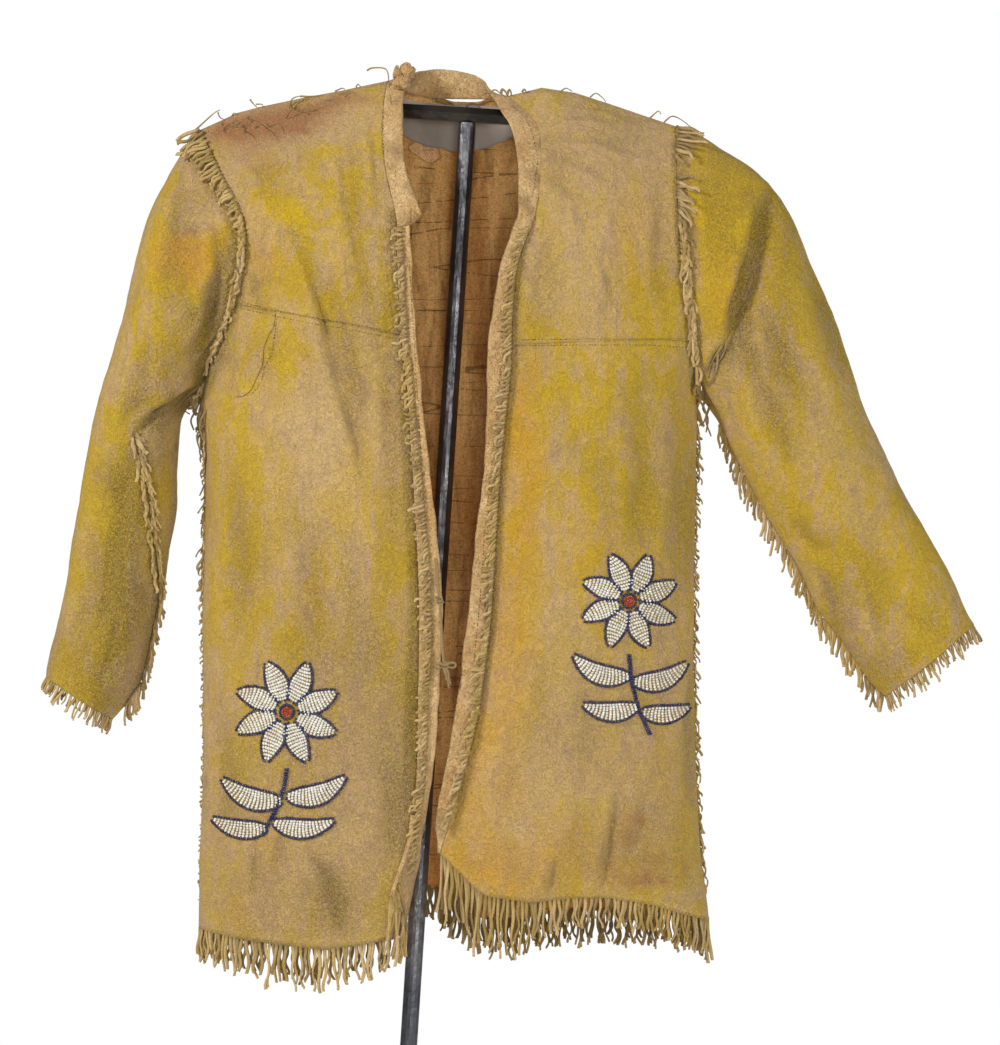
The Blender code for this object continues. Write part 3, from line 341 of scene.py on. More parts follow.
def back_mm(s, v):
    """A point of the back in millimetres: s runs from -1 at the right side to 1 at the left side."""
    side = "right" if s < 0 else "left"
    share = abs(s)
    held = min(v, float(RIDGE))
    row = table_at(FRONTS[side][0], held)
    right, left = (table_at(FRONTS[name][0], held) for name in ("right", "left"))
    top_x, top_z = back_top(side, share)
    top = smooth(RIDGE - 3, RIDGE, held) if held < RIDGE else 1.0
    middle_x = mix(right.side_x, left.side_x, 0.5)
    middle_x = mix(middle_x, mix(RIGHT_ROWS[RIDGE].edge_x, LEFT_ROWS[RIDGE].edge_x, 0.5), top)
    middle_z = mix(right.side_z, left.side_z, 0.5)
    level = mix(share, math.sin(min(share, 1.0) * math.pi / 2), roundness(v))
    hold = max(0.0, math.cos(min(share, 1.0) * math.pi / 2)) ** mix(1.0, 0.8, roundness(v))
    x = mix(mix(middle_x, row.side_x, level), top_x, top)
    bump = max(0.0, 1 - (share / (NECK_SHARE + 0.1 * (RIDGE - held))) ** 2.4) ** 0.75
    y = mix(-row.side_y, spline(BACK_DEPTH, held), hold) + spline(NECK_DEPTH, held) * bump
    climb = max(0.0, (held - ARMPIT) / (RIDGE - ARMPIT))
    side_top = FRONTS[side][0][RIDGE].side_z
    flat_z = mix(middle_z, row.side_z, min(1.0, level))
    side_z = mix(flat_z, row.side_z, climb)
    z = side_z + (top_z - side_top) * climb + table_between(BACK_HEM, s) * max(0.0, 1 - v / HEM_REACH) ** 2
    return x, y, z


def back_point(s, v):
    x, y, z = back_mm(s, v)
    if v > RIDGE:  # past the shoulder seam the hide rolls forward, and past the neck it stands up
        under = back_mm(s, 2 * RIDGE - v)
        x, z = under[0], under[2]
        y = -under[1]
        if abs(s) < NECK_SHARE:
            here = back_mm(s, RIDGE)
            x, y, z = (2 * a - b for a, b in zip(here, under))
    y -= fold_depth(BACK_FOLDS, x, z) * min(1.0, 6 * (1 - abs(s)))
    return Vector((x * MM + COAT_X, y * MM, z * MM))


RINGS = {"right": RIGHT_RINGS, "left": LEFT_RINGS}


def armhole_point(side, j):
    """A point of the armhole: j runs from the armpit up the front to the shoulder and down the back."""
    half = RIDGE - ARMPIT
    if j <= half:
        return front_point(side, 1.0, ARMPIT + j)
    return back_point(-1.0 if side == "right" else 1.0, RIDGE - (j - half))


def sleeve_point(side, t, j):
    """A point of a sleeve: t runs from armhole to cuff in rings, j round it as on the armhole."""
    ring = table_at(RINGS[side], t)
    angle = math.pi * (1 - j / (RIDGE - ARMPIT))
    outward, forward = math.cos(angle), math.sin(angle)
    x = mix((ring.inner_x + ring.outer_x) / 2, ring.outer_x, outward)
    z = mix((ring.inner_z + ring.outer_z) / 2, ring.outer_z, outward)
    own = Vector((x * MM + COAT_X, -ring.depth * forward * MM, z * MM))
    armhole = 1 - smooth(0, ARMHOLE_REACH, t)
    place = own.lerp(armhole_point(side, j), armhole)
    if forward > 0:
        sink = fold_depth(SLEEVE_FOLDS, (place.x - COAT_X) / MM, place.z / MM)
        place.y += sink * forward * (1 - armhole) * MM
    return place


# ---- Cloth grids ---------------------------------------------------------------------------------------------

# Grids of points, rows by b and columns by a. The last field holds the shade painted into each point's folds, from 0
# to 1.
Skin = namedtuple("Skin", "outer inner normal ring hollow", defaults=(None,))


def even(low, high, count):
    return [mix(low, high, i / (count - 1)) for i in range(count)]


def sample(surface, a_values, b_values):
    return np.array([[surface(a, b)[:] for a in a_values] for b in b_values])


def grid_normals(grid, away_from, ring=False):
    """Unit normals of a grid, pointing away from a point inside the garment."""
    if ring:
        wide = np.concatenate([grid[:, -1:], grid, grid[:, :1]], axis=1)
        along = wide[:, 2:] - wide[:, :-2]
    else:
        along = np.gradient(grid, axis=1)
    normal = np.cross(along, np.gradient(grid, axis=0))
    normal /= np.maximum(np.linalg.norm(normal, axis=2, keepdims=True), 1e-12)
    middle = normal.shape[0] // 2, normal.shape[1] // 2
    facing = np.dot(normal[middle], grid[middle] - np.array(away_from))
    return normal if facing > 0 else -normal


def lumps(points, size, seed, stretch=(1, 1, 1)):
    """Smooth noise from -1 to 1 at each point, in lumps of about this size."""
    scale = np.array(stretch) / size
    flat = points.reshape(-1, 3) * scale + seed * 17.3
    return np.array([noise.noise(p) for p in flat]).reshape(points.shape[:-1]) * 1.6


def photo_mm(px, py, depth_mm=-90):
    """Garment millimetres, x and z, of a photograph pixel on a plane this far from the coat's middle."""
    near = (CAMERA_FAR + depth_mm) / CAMERA_FAR
    return AIM_X + (px - PHOTO_X) * PIXEL_MM * near, AIM_Z + (PHOTO_Y - py) * PIXEL_MM * near


def away_from_line(x, z, line):
    """Signed distance to a line of points and how far along it the nearest point lies, from 0 to 1."""
    best = np.full(x.shape, 1e9)
    side = np.zeros(x.shape)
    share = np.zeros(x.shape)
    lengths = [math.dist(a, b) for a, b in zip(line, line[1:])]
    total, before = sum(lengths), 0.0
    for (x0, z0), (x1, z1), length in zip(line, line[1:], lengths):
        t = np.clip(((x - x0) * (x1 - x0) + (z - z0) * (z1 - z0)) / length ** 2, 0, 1)
        dx, dz = x - x0 - t * (x1 - x0), z - z0 - t * (z1 - z0)
        away = np.hypot(dx, dz)
        nearer = away < best
        best = np.where(nearer, away, best)
        side = np.where(nearer, np.sign(dx * (z1 - z0) - dz * (x1 - x0)), side)
        share = np.where(nearer, (before + t * length) / total, share)
        before += length
    return best * side, share


def coat_mm(points):
    """Garment millimetres, x and z, of an array of places."""
    return (points[..., 0] - COAT_X) / MM, points[..., 2] / MM


def along_creases(points, creases, depth_mm):
    """For each crease: the distance to it of each point, how strong it is there, its width and its depth."""
    x, z = coat_mm(points)
    for line, width, depth in creases:
        away, share = away_from_line(x, z, [photo_mm(px, py, depth_mm) for px, py in line])
        yield away, share, np.sin(np.pi * np.clip(share, 0.02, 0.98)) ** 0.7, width, depth


def crease_relief(points, creases, depth_mm=-90):
    """How far the creases move the hide outwards, in millimetres: a trough with a low ridge on one side."""
    total = np.zeros(points.shape[:-1])
    for away, share, fade, wide, depth in along_creases(points, creases, depth_mm):
        width = wide * (1 + 0.25 * np.sin(share * 9 + depth))
        total += depth * fade * (0.55 * np.exp(-((away - 2.1 * width) / (1.4 * width)) ** 2)
                                 - np.exp(-(away / width) ** 2))
    return total


def crease_shade(points, creases, depth_mm=-90):
    """How much painted shade the creases get, from 0 to 1: most on the side away from each crease's ridge."""
    total = np.zeros(points.shape[:-1])
    for away, _, fade, width, depth in along_creases(points, creases, depth_mm):
        away = away + 0.6 * width
        reach = np.where(away > 0, 1.0, 2.6) * width
        total += 0.2 * depth * fade * np.exp(-(away / reach) ** 2)
    return total


def edge_fade(grid, reach, sides):
    """1 inside a grid, falling to 0 at the named edges over a reach in metres."""
    rows, columns = grid.shape[:2]
    fade = np.ones((rows, columns))
    down = np.cumsum(np.r_[0, np.linalg.norm(np.diff(grid[:, columns // 2], axis=0), axis=1)])
    over = np.cumsum(np.r_[0, np.linalg.norm(np.diff(grid[rows // 2], axis=0), axis=1)])
    for name, run in (("low", down), ("high", down[-1] - down)):
        if name in sides:
            fade *= np.clip(run / reach, 0, 1)[:, None]
    for name, run in (("near", over), ("far", over[-1] - over)):
        if name in sides:
            fade *= np.clip(run / reach, 0, 1)[None, :]
    return fade * fade * (3 - 2 * fade)


def skin(grid, normal, hollow, ring=False):
    return Skin(grid, grid - normal * HIDE, normal, ring, hollow)


def part_rows(cloth, first, last):
    return Skin(cloth.outer[first:last + 1].copy(), cloth.inner[first:last + 1].copy(),
                cloth.normal[first:last + 1].copy(), cloth.ring, cloth.hollow[first:last + 1])


def draw_in(cloth, sides, gap=SEAM):
    """Moves a piece's seam edges in by a small gap."""
    for grid in (cloth.outer, cloth.inner):
        for name, edge, beside in (("low", grid[0], grid[1]), ("high", grid[-1], grid[-2]),
                                   ("near", grid[:, 0], grid[:, 1]), ("far", grid[:, -1], grid[:, -2])):
            if name in sides:
                way = beside - edge
                edge += way / np.maximum(np.linalg.norm(way, axis=-1, keepdims=True), 1e-9) * gap
    return cloth


def linked(name, mesh):
    """A smooth shaded mesh as an object of the scene."""
    mesh.shade_smooth()
    made = bpy.data.objects.new(name, mesh)
    bpy.context.scene.collection.objects.link(made)
    return made


def from_shape(name, shape, finish):
    """A bmesh in one finish as an object of the scene."""
    mesh = bpy.data.meshes.new(name)
    shape.to_mesh(mesh)
    shape.free()
    mesh.materials.append(finish)
    return linked(name, mesh)


def closed_cloth(name, cloth, finishes, masks=None, swell=0.0):
    """A closed sheet from a skin: outer face, inner face and a rounded rim between them.

    finishes are the materials of the outside and the inside. masks are numbers from 0 to 1 for each outer
    point, kept as attributes that the materials read. swell is how far the rim stands out.
    """
    outer, inner, ring = cloth.outer, cloth.inner, cloth.ring
    rows, columns = outer.shape[:2]
    spans = columns if ring else columns - 1
    count = rows * columns
    faces, inside, edges = [], [], {}

    def at(r, c):
        return r * columns + c % columns

    for r in range(rows - 1):
        for c in range(spans):
            loop = (at(r, c), at(r, c + 1), at(r + 1, c + 1), at(r + 1, c))
            faces.append(loop)
            inside.append(0)
            faces.append(tuple(count + i for i in reversed(loop)))
            inside.append(1)
            for a, b in zip(loop, loop[1:] + loop[:1]):
                if (b, a) in edges:
                    del edges[(b, a)]
                else:
                    edges[(a, b)] = True
    points = np.concatenate([outer.reshape(-1, 3), inner.reshape(-1, 3)])
    rim, extra = {}, []
    away = {}
    for a, b in edges:
        along = points[b] - points[a]
        up = points[a] - points[a + count]
        out = np.cross(along, up)
        length = np.linalg.norm(out)
        for i in (a, b):
            away[i] = away.get(i, 0) + (out / length if length > 1e-12 else 0)
    for i, out in away.items():
        length = np.linalg.norm(out)
        rim[i] = 2 * count + len(extra)
        extra.append((points[i] + points[i + count]) / 2 + (out / length if length > 1e-9 else out) * swell)
    for a, b in edges:
        faces.append((b, a, rim[a], rim[b]))
        inside.append(0)
        faces.append((rim[b], rim[a], a + count, b + count))
        inside.append(1 if swell == 0 else 0)
    if extra:
        points = np.concatenate([points, np.array(extra)])
    mesh = bpy.data.meshes.new(name)
    mesh.from_pydata(points.tolist(), [], faces)
    mesh.update()
    for finish in finishes:
        mesh.materials.append(finish)
    if len(finishes) > 1:
        mesh.polygons.foreach_set("material_index", np.array(inside, np.int32))
    for label, values in (masks or {}).items():
        layer = mesh.attributes.new(label, "FLOAT", "POINT")
        flat = values.reshape(-1)
        rim_values = [flat[i] for i in away]
        layer.data.foreach_set("value", np.concatenate([flat, flat, rim_values]).astype(np.float32))
    shape = bmesh.new()
    shape.from_mesh(mesh)
    loose = [v for v in shape.verts if not v.link_faces]
    bmesh.ops.delete(shape, geom=loose, context="VERTS")
    bmesh.ops.recalc_face_normals(shape, faces=shape.faces)
    shape.to_mesh(mesh)
    shape.free()
    return linked(name, mesh)


def stand_for(piece, *nodes, slot=None):
    """A finished piece rides on the one body, and may replace nodes; its slot is not used."""
    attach(piece, "root")
    if nodes:
        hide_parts(*nodes)
    return piece


def on_grid(grid, row, column):
    """A point of a grid at a fractional row and column."""
    r = int(min(max(row, 0), grid.shape[0] - 1.001))
    c = int(min(max(column, 0), grid.shape[1] - 1.001))
    t, u = row - r, column - c
    return (grid[r, c] * (1 - t) * (1 - u) + grid[r, c + 1] * (1 - t) * u + grid[r + 1, c] * t * (1 - u)
            + grid[r + 1, c + 1] * t * u)


def tree_of(*pieces):
    """A search tree over some pieces' faces, for setting things down on them."""
    points, faces = [], []
    for piece in pieces:
        first = len(points)
        points += [v.co.copy() for v in piece.data.vertices]
        faces += [tuple(first + i for i in p.vertices) for p in piece.data.polygons]
    return BVHTree.FromPolygons(points, faces)


def seen_at(tree, px, py):
    """Where the camera's line through a photograph pixel first meets the hide, and the hide's normal there."""
    start = Vector(CAMERA_PLACE)
    way = Vector(((px - PHOTO_X) * PIXEL, -start.y, (PHOTO_Y - py) * PIXEL)).normalized()
    place, normal, _, _ = tree.ray_cast(start, way)
    if place is None:
        return None, None
    if normal.dot(way) > 0:
        normal = -normal
    return place, normal


# ---- Shader and geometry node helpers --------------------------------------------------------------------------

def feed(tree, node, inputs):
    """Sets or links a node's inputs, by name or by place."""
    for key, value in inputs.items():
        if isinstance(value, bpy.types.NodeSocket):
            tree.links.new(value, node.inputs[key])
        else:
            node.inputs[key].default_value = value
    return node


def add(tree, kind, inputs=None, **settings):
    """A node with its settings made and its inputs fed."""
    node = tree.nodes.new(kind)
    for key, value in settings.items():
        setattr(node, key, value)
    return feed(tree, node, inputs or {})


def calc(tree, operation, a, b=0.0, clamp=False):
    return add(tree, "ShaderNodeMath", {0: a, 1: b}, operation=operation, use_clamp=clamp).outputs[0]


def times(tree, a, b):
    return calc(tree, "MULTIPLY", a, b)


def plus(tree, a, b, clamp=False):
    return calc(tree, "ADD", a, b, clamp)


def minus(tree, a, b, clamp=False):
    return calc(tree, "SUBTRACT", a, b, clamp)


def vector_calc(tree, operation, a, b):
    return add(tree, "ShaderNodeVectorMath", {0: a, 1: b}, operation=operation).outputs["Vector"]


def scaled(tree, a, scale):
    return add(tree, "ShaderNodeVectorMath", {0: a, "Scale": scale}, operation="SCALE").outputs["Vector"]


def blend_colour(tree, share, a, b, blend="MIX"):
    a, b = (v if isinstance(v, bpy.types.NodeSocket) else (*v, 1) for v in (a, b))
    return add(tree, "ShaderNodeMix", {0: share, 6: a, 7: b}, data_type="RGBA", blend_type=blend).outputs[2]


def cloudy(tree, place, scale, detail=2.0, roughness=0.5, distortion=0.0):
    """Smooth noise with a middle of 0.5."""
    return add(tree, "ShaderNodeTexNoise", {"Vector": place, "Scale": scale, "Detail": detail,
                                            "Roughness": roughness, "Distortion": distortion}).outputs[0]


def ramp(tree, value, low, high):
    """A smooth step from 0 at low to 1 at high."""
    return add(tree, "ShaderNodeMapRange", {0: value, 1: low, 2: high, 3: 0.0, 4: 1.0},
               interpolation_type="SMOOTHSTEP").outputs[0]


def new_group(name, kind, inputs, outputs):
    """A node group with named inputs and outputs. Returns it with its input and output nodes."""
    group = bpy.data.node_groups.new(name, kind)
    for label, socket, value in inputs:
        made = group.interface.new_socket(label, in_out="INPUT", socket_type="NodeSocket" + socket)
        if value is not None:
            made.default_value = value
    for label, socket in outputs:
        group.interface.new_socket(label, in_out="OUTPUT", socket_type="NodeSocket" + socket)
    return group, group.nodes.new("NodeGroupInput"), group.nodes.new("NodeGroupOutput")


def place_group(tree, group, inputs):
    node = tree.nodes.new("ShaderNodeGroup")
    node.node_tree = group
    return feed(tree, node, inputs).outputs


def turn_points(name, roots, group, values, finish):
    """Runs a geometry node tree on points with attributes, and keeps the result as a plain mesh piece.

    roots holds "place" and any named attributes, one row for each point.
    """
    mesh = bpy.data.meshes.new(name + "_points")
    mesh.from_pydata([list(p) for p in roots["place"]], [], [])
    for label, rows in roots.items():
        if label == "place":
            continue
        rows = np.array(rows, np.float32)
        if rows.ndim == 1:
            mesh.attributes.new(label, "FLOAT", "POINT").data.foreach_set("value", rows)
        else:
            mesh.attributes.new(label, "FLOAT_VECTOR", "POINT").data.foreach_set("vector", rows.reshape(-1))
    source = bpy.data.objects.new(name + "_points", mesh)
    bpy.context.scene.collection.objects.link(source)
    modifier = source.modifiers.new("grow", "NODES")
    modifier.node_group = group
    sockets = {item.name: item.identifier for item in group.interface.items_tree if item.in_out == "INPUT"}
    for label, value in {**values, "Material": finish}.items():
        modifier[sockets[label]] = value
    bpy.context.view_layer.update()
    result = bpy.data.meshes.new_from_object(source.evaluated_get(bpy.context.evaluated_depsgraph_get()))
    bpy.data.objects.remove(source)
    result.name = name
    if not result.materials:
        result.materials.append(finish)
    made = bpy.data.objects.new(name, result)
    bpy.context.scene.collection.objects.link(made)
    return made


def strand_tree():
    """Grows a bent, twisted strip of hide from each point."""
    group, start, end = new_group("grow_strands", "GeometryNodeTree", [
        ("Geometry", "Geometry", None), ("Width", "Float", 0.0032), ("Thickness", "Float", 0.0014),
        ("Tip", "Float", 0.7), ("Curl", "Float", 0.002), ("Waves", "Float", 5.0), ("Twist", "Float", 1.5),
        ("Spread", "Float", 0.25), ("Lean", "Float", 0.2), ("Rows", "Int", 9), ("Seed", "Int", 1),
        ("Material", "Material", None)], [("Geometry", "Geometry")])
    read = {item: start.outputs[item] for item in
            ("Width", "Thickness", "Tip", "Curl", "Waves", "Twist", "Spread", "Lean", "Rows", "Seed")}

    def keep(geometry, label, value, kind="FLOAT"):
        node = add(group, "GeometryNodeStoreNamedAttribute", {"Geometry": geometry, "Name": label},
                   data_type=kind)
        group.links.new(value, node.inputs["Value"])
        return node.outputs[0]

    def attribute(label, kind="FLOAT"):
        return add(group, "GeometryNodeInputNamedAttribute", {"Name": label}, data_type=kind).outputs[0]

    points = keep(start.outputs["Geometry"], "root", group.nodes.new("GeometryNodeInputPosition").outputs[0],
                  "FLOAT_VECTOR")
    index = group.nodes.new("GeometryNodeInputIndex").outputs[0]
    for step, label in enumerate(("lot", "turn", "swing")):
        seed = plus(group, read["Seed"], float(step * 100))
        value = add(group, "FunctionNodeRandomValue", {"ID": index, "Seed": seed}, data_type="FLOAT").outputs[1]
        points = keep(points, label, value)
    to_points = add(group, "GeometryNodeMeshToPoints", {0: points}).outputs[0]
    line = add(group, "GeometryNodeCurvePrimitiveLine", {"End": (0, 0, 1)}).outputs[0]
    line = add(group, "GeometryNodeResampleCurve", {"Curve": line, "Count": read["Rows"]}).outputs[0]
    line = keep(line, "along", group.nodes.new("GeometryNodeSplineParameter").outputs[0])
    spread = add(group, "GeometryNodeInstanceOnPoints", {"Points": to_points, "Instance": line}).outputs[0]
    strands = add(group, "GeometryNodeRealizeInstances", {0: spread}).outputs[0]

    root, out, across = (attribute(label, "FLOAT_VECTOR") for label in ("root", "out", "across"))
    along, lot, turn, swing = (attribute(label) for label in ("along", "lot", "turn", "swing"))
    fall = times(group, times(group, along, along),
                times(group, attribute("droop"), 0.5))
    length = times(group, attribute("length"),
                  minus(group, 1.0, times(group, lot, read["Spread"])))
    path = scaled(group, out, minus(group, along, fall))
    path = vector_calc(group, "ADD", path, scaled(group, (0, 0, -1), fall))
    path = scaled(group, path, length)
    phase = plus(group, times(group, along, times(group, read["Waves"],
                 plus(group, 0.5, turn))), times(group, swing, 6.283))
    reach = times(group, read["Curl"], along)
    sideways = plus(group, times(group, calc(group, "SINE", phase), reach),
                    times(group, times(group, length, along),
                         times(group, minus(group, swing, 0.5), read["Lean"])))
    forward = times(group, calc(group, "COSINE", phase), times(group, reach, 0.7))
    thin_way = vector_calc(group, "CROSS_PRODUCT", across, out)
    path = vector_calc(group, "ADD", path, scaled(group, across, sideways))
    path = vector_calc(group, "ADD", path, scaled(group, thin_way, forward))
    place = vector_calc(group, "ADD", root, path)
    strands = add(group, "GeometryNodeSetPosition", {"Geometry": strands, "Position": place}).outputs[0]
    strands = add(group, "GeometryNodeSetCurveNormal", {"Curve": strands, "Normal": across},
                  mode="FREE").outputs[0]
    tilt = times(group, times(group, minus(group, turn, 0.5), read["Twist"]),
                plus(group, along, 0.2))
    strands = add(group, "GeometryNodeSetCurveTilt", {"Curve": strands, "Tilt": tilt}).outputs[0]
    radius = minus(group, 1.0, times(group, along,
                  minus(group, 1.0, read["Tip"])))
    strands = add(group, "GeometryNodeSetCurveRadius", {"Curve": strands, "Radius": radius}).outputs[0]
    profile = add(group, "GeometryNodeCurvePrimitiveCircle", {"Resolution": 6, "Radius": 0.5}).outputs[0]
    size = add(group, "ShaderNodeCombineXYZ", {0: read["Width"], 1: read["Thickness"], 2: 1.0}).outputs[0]
    profile = add(group, "GeometryNodeTransform", {"Geometry": profile, "Scale": size}).outputs[0]
    strands = add(group, "GeometryNodeCurveToMesh", {"Curve": strands, "Profile Curve": profile,
                                                    "Fill Caps": True}).outputs[0]
    strands = add(group, "GeometryNodeSetShadeSmooth", {0: strands}).outputs[0]
    strands = add(group, "GeometryNodeRealizeInstances", {0: strands}).outputs[0]
    strands = add(group, "GeometryNodeSetMaterial", {"Geometry": strands,
                                                     "Material": start.outputs["Material"]}).outputs[0]
    group.links.new(strands, end.inputs[0])
    return group


def bead_tree():
    """Sets a small drilled bead on each point, its hole along the point's "hole" direction."""
    group, start, end = new_group("set_beads", "GeometryNodeTree", [
        ("Geometry", "Geometry", None), ("Across", "Float", 0.0019), ("Along", "Float", 0.0015),
        ("Uneven", "Float", 0.12), ("Sides", "Int", 8), ("Rows", "Int", 5), ("Seed", "Int", 3),
        ("Material", "Material", None)], [("Geometry", "Geometry")])
    hole = add(group, "GeometryNodeInputNamedAttribute", {"Name": "hole"}, data_type="FLOAT_VECTOR").outputs[0]
    turned = add(group, "FunctionNodeAlignRotationToVector", {"Vector": hole}, axis="Z").outputs[0]
    bead = add(group, "GeometryNodeMeshUVSphere", {"Segments": start.outputs["Sides"],
                                                   "Rings": start.outputs["Rows"], "Radius": 0.5}).outputs[0]
    uneven = add(group, "FunctionNodeRandomValue",
                 {"Min": minus(group, 1.0, start.outputs["Uneven"]),
                  "Max": plus(group, 1.0, start.outputs["Uneven"]),
                  "ID": group.nodes.new("GeometryNodeInputIndex").outputs[0],
                  "Seed": start.outputs["Seed"]}, data_type="FLOAT").outputs[1]
    size = add(group, "ShaderNodeCombineXYZ", {
        0: times(group, uneven, start.outputs["Across"]),
        1: times(group, uneven, start.outputs["Across"]),
        2: times(group, uneven, start.outputs["Along"])}).outputs[0]
    points = add(group, "GeometryNodeMeshToPoints", {0: start.outputs["Geometry"]}).outputs[0]
    beads = add(group, "GeometryNodeInstanceOnPoints", {"Points": points, "Instance": bead, "Rotation": turned,
                                                        "Scale": size}).outputs[0]
    beads = add(group, "GeometryNodeRealizeInstances", {0: beads}).outputs[0]
    beads = add(group, "GeometryNodeSetShadeSmooth", {0: beads}).outputs[0]
    beads = add(group, "GeometryNodeSetMaterial", {"Geometry": beads,
                                                   "Material": start.outputs["Material"]}).outputs[0]
    group.links.new(beads, end.inputs[0])
    return group


# ---- Camera and the tie ----------------------------------------------------------------------------------------

def make_camera():
    data = bpy.data.cameras.new("camera")
    data.lens = CAMERA_LENS
    data.sensor_width = 36
    data.clip_end = 60
    camera = bpy.data.objects.new("camera", data)
    camera.location = CAMERA_PLACE
    camera.rotation_euler = (math.radians(90), 0, 0)
    bpy.context.scene.collection.objects.link(camera)
    bpy.context.scene.camera = camera


def tube(name, path, radii, finish, sides, flat, turn):
    """A closed tube of hide thong along a path. flat squeezes it across, turn twists it from end to end."""
    shape = bmesh.new()
    rings, side = [], None
    for i, centre in enumerate(path):
        along = (path[min(i + 1, len(path) - 1)] - path[max(i - 1, 0)]).normalized()
        if side is None:
            side = along.cross(Vector((0, 1, 0)))
            if side.length < 0.1:
                side = along.cross(Vector((0, 0, 1)))
        side = (side - along * side.dot(along)).normalized()
        front = along.cross(side)
        twist = turn * i / (len(path) - 1)
        ring = []
        for k in range(sides):
            a = 2 * math.pi * k / sides
            wide, deep = math.cos(a) * radii[i], math.sin(a) * radii[i] * flat
            ring.append(shape.verts.new(centre + side * (wide * math.cos(twist) - deep * math.sin(twist))
                                        + front * (wide * math.sin(twist) + deep * math.cos(twist))))
        rings.append(ring)
    for here, there in zip(rings, rings[1:]):
        for c in range(sides):
            d = (c + 1) % sides
            shape.faces.new((here[c], here[d], there[d], there[c]))
    shape.faces.new(list(reversed(rings[0])))
    shape.faces.new(rings[-1])
    bmesh.ops.recalc_face_normals(shape, faces=shape.faces)
    return from_shape(name, shape, finish)


def joined(name, pieces):
    """Several small pieces of one finish as one piece."""
    shape = bmesh.new()
    for piece in pieces:
        shape.from_mesh(piece.data)
    finish = pieces[0].data.materials[0]
    for piece in pieces:
        bpy.data.objects.remove(piece)
    return from_shape(name, shape, finish)


def curve_through(points, steps):
    """Points on a smooth curve through some points."""
    rows = [tuple(p) for p in points]
    return [Vector(spline(column, i * (len(rows) - 1) / steps) for column in zip(*rows)) for i in range(steps + 1)]


def garment(x, z, y):
    return Vector((x * MM + COAT_X, y * MM, z * MM))


def small_thong(name, points, radius, finish, steps, flat=0.7, turn=1.0):
    """A short thong that thins to THONG_TIP of its radius."""
    path = curve_through(points, steps)
    radii = [radius * (1 - (1 - THONG_TIP) * (i / steps) ** 2) for i in range(steps + 1)]
    return tube(name, path, radii, finish, 6, flat, turn)


THONG_TIP = 0.6
TIE_RADIUS = 1.6 * MM


def make_tie(finish):
    """The limp thong that hangs at the right band, with its two knots and short ends."""
    stations = [garment(*station) for station in TIE]
    path = curve_through(stations, 60)
    radii = [TIE_RADIUS * (1 if i < 55 else mix(1, 0.75, (i - 55) / 5)) for i in range(61)]
    tie = tube("tie_thong", path, radii, finish, sides=10, flat=0.8, turn=5.0)
    parts = []
    for centre, size, turns in ((stations[3], 4.0, 1.6), (stations[8], 4.6, 2.1)):
        loop = []
        for i in range(41):
            a = 2 * math.pi * turns * i / 40
            loop.append(centre + Vector((math.cos(a) * size * (0.8 + 0.25 * math.sin(1.7 * a)),
                                         math.sin(a) * size * 0.62,
                                         (i / 40 - 0.5) * size * 1.3 + 1.1 * math.sin(2.3 * a))) * MM)
        parts.append(tube("loop", loop, [1.5 * MM] * 41, finish, sides=8, flat=0.75, turn=3))
    bow = stations[8]
    for line in (((0, -4, 0), (-6, -5, 2.5), (-10, -4, 0.5), (-8, -4, -3), (-2, -4.4, -1.5)),
                 ((0, -4, 0), (6, -5, 3), (11, -4.5, 2), (9.5, -4, -2), (2, -4.4, -1)),
                 ((1, -4, -2), (3.5, -4.6, -7), (4.2, -4.4, -13), (6.4, -4, -19)),
                 ((-1, -4, -2), (0.2, -4.8, -6), (1.6, -4.6, -11), (1.0, -4.4, -15))):
        parts.append(small_thong("end", [bow + Vector(p) * MM for p in line], 1.5 * MM, finish, steps=16))
    knots = joined("tie_knots", parts)
    length = sum((b - a).length for a, b in zip(path, path[1:]))
    stand_for(tie, "tie", slot="thong")
    stand_for(knots, slot="thong")
    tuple(path[0][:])


# ---- Finishes --------------------------------------------------------------------------------------------------

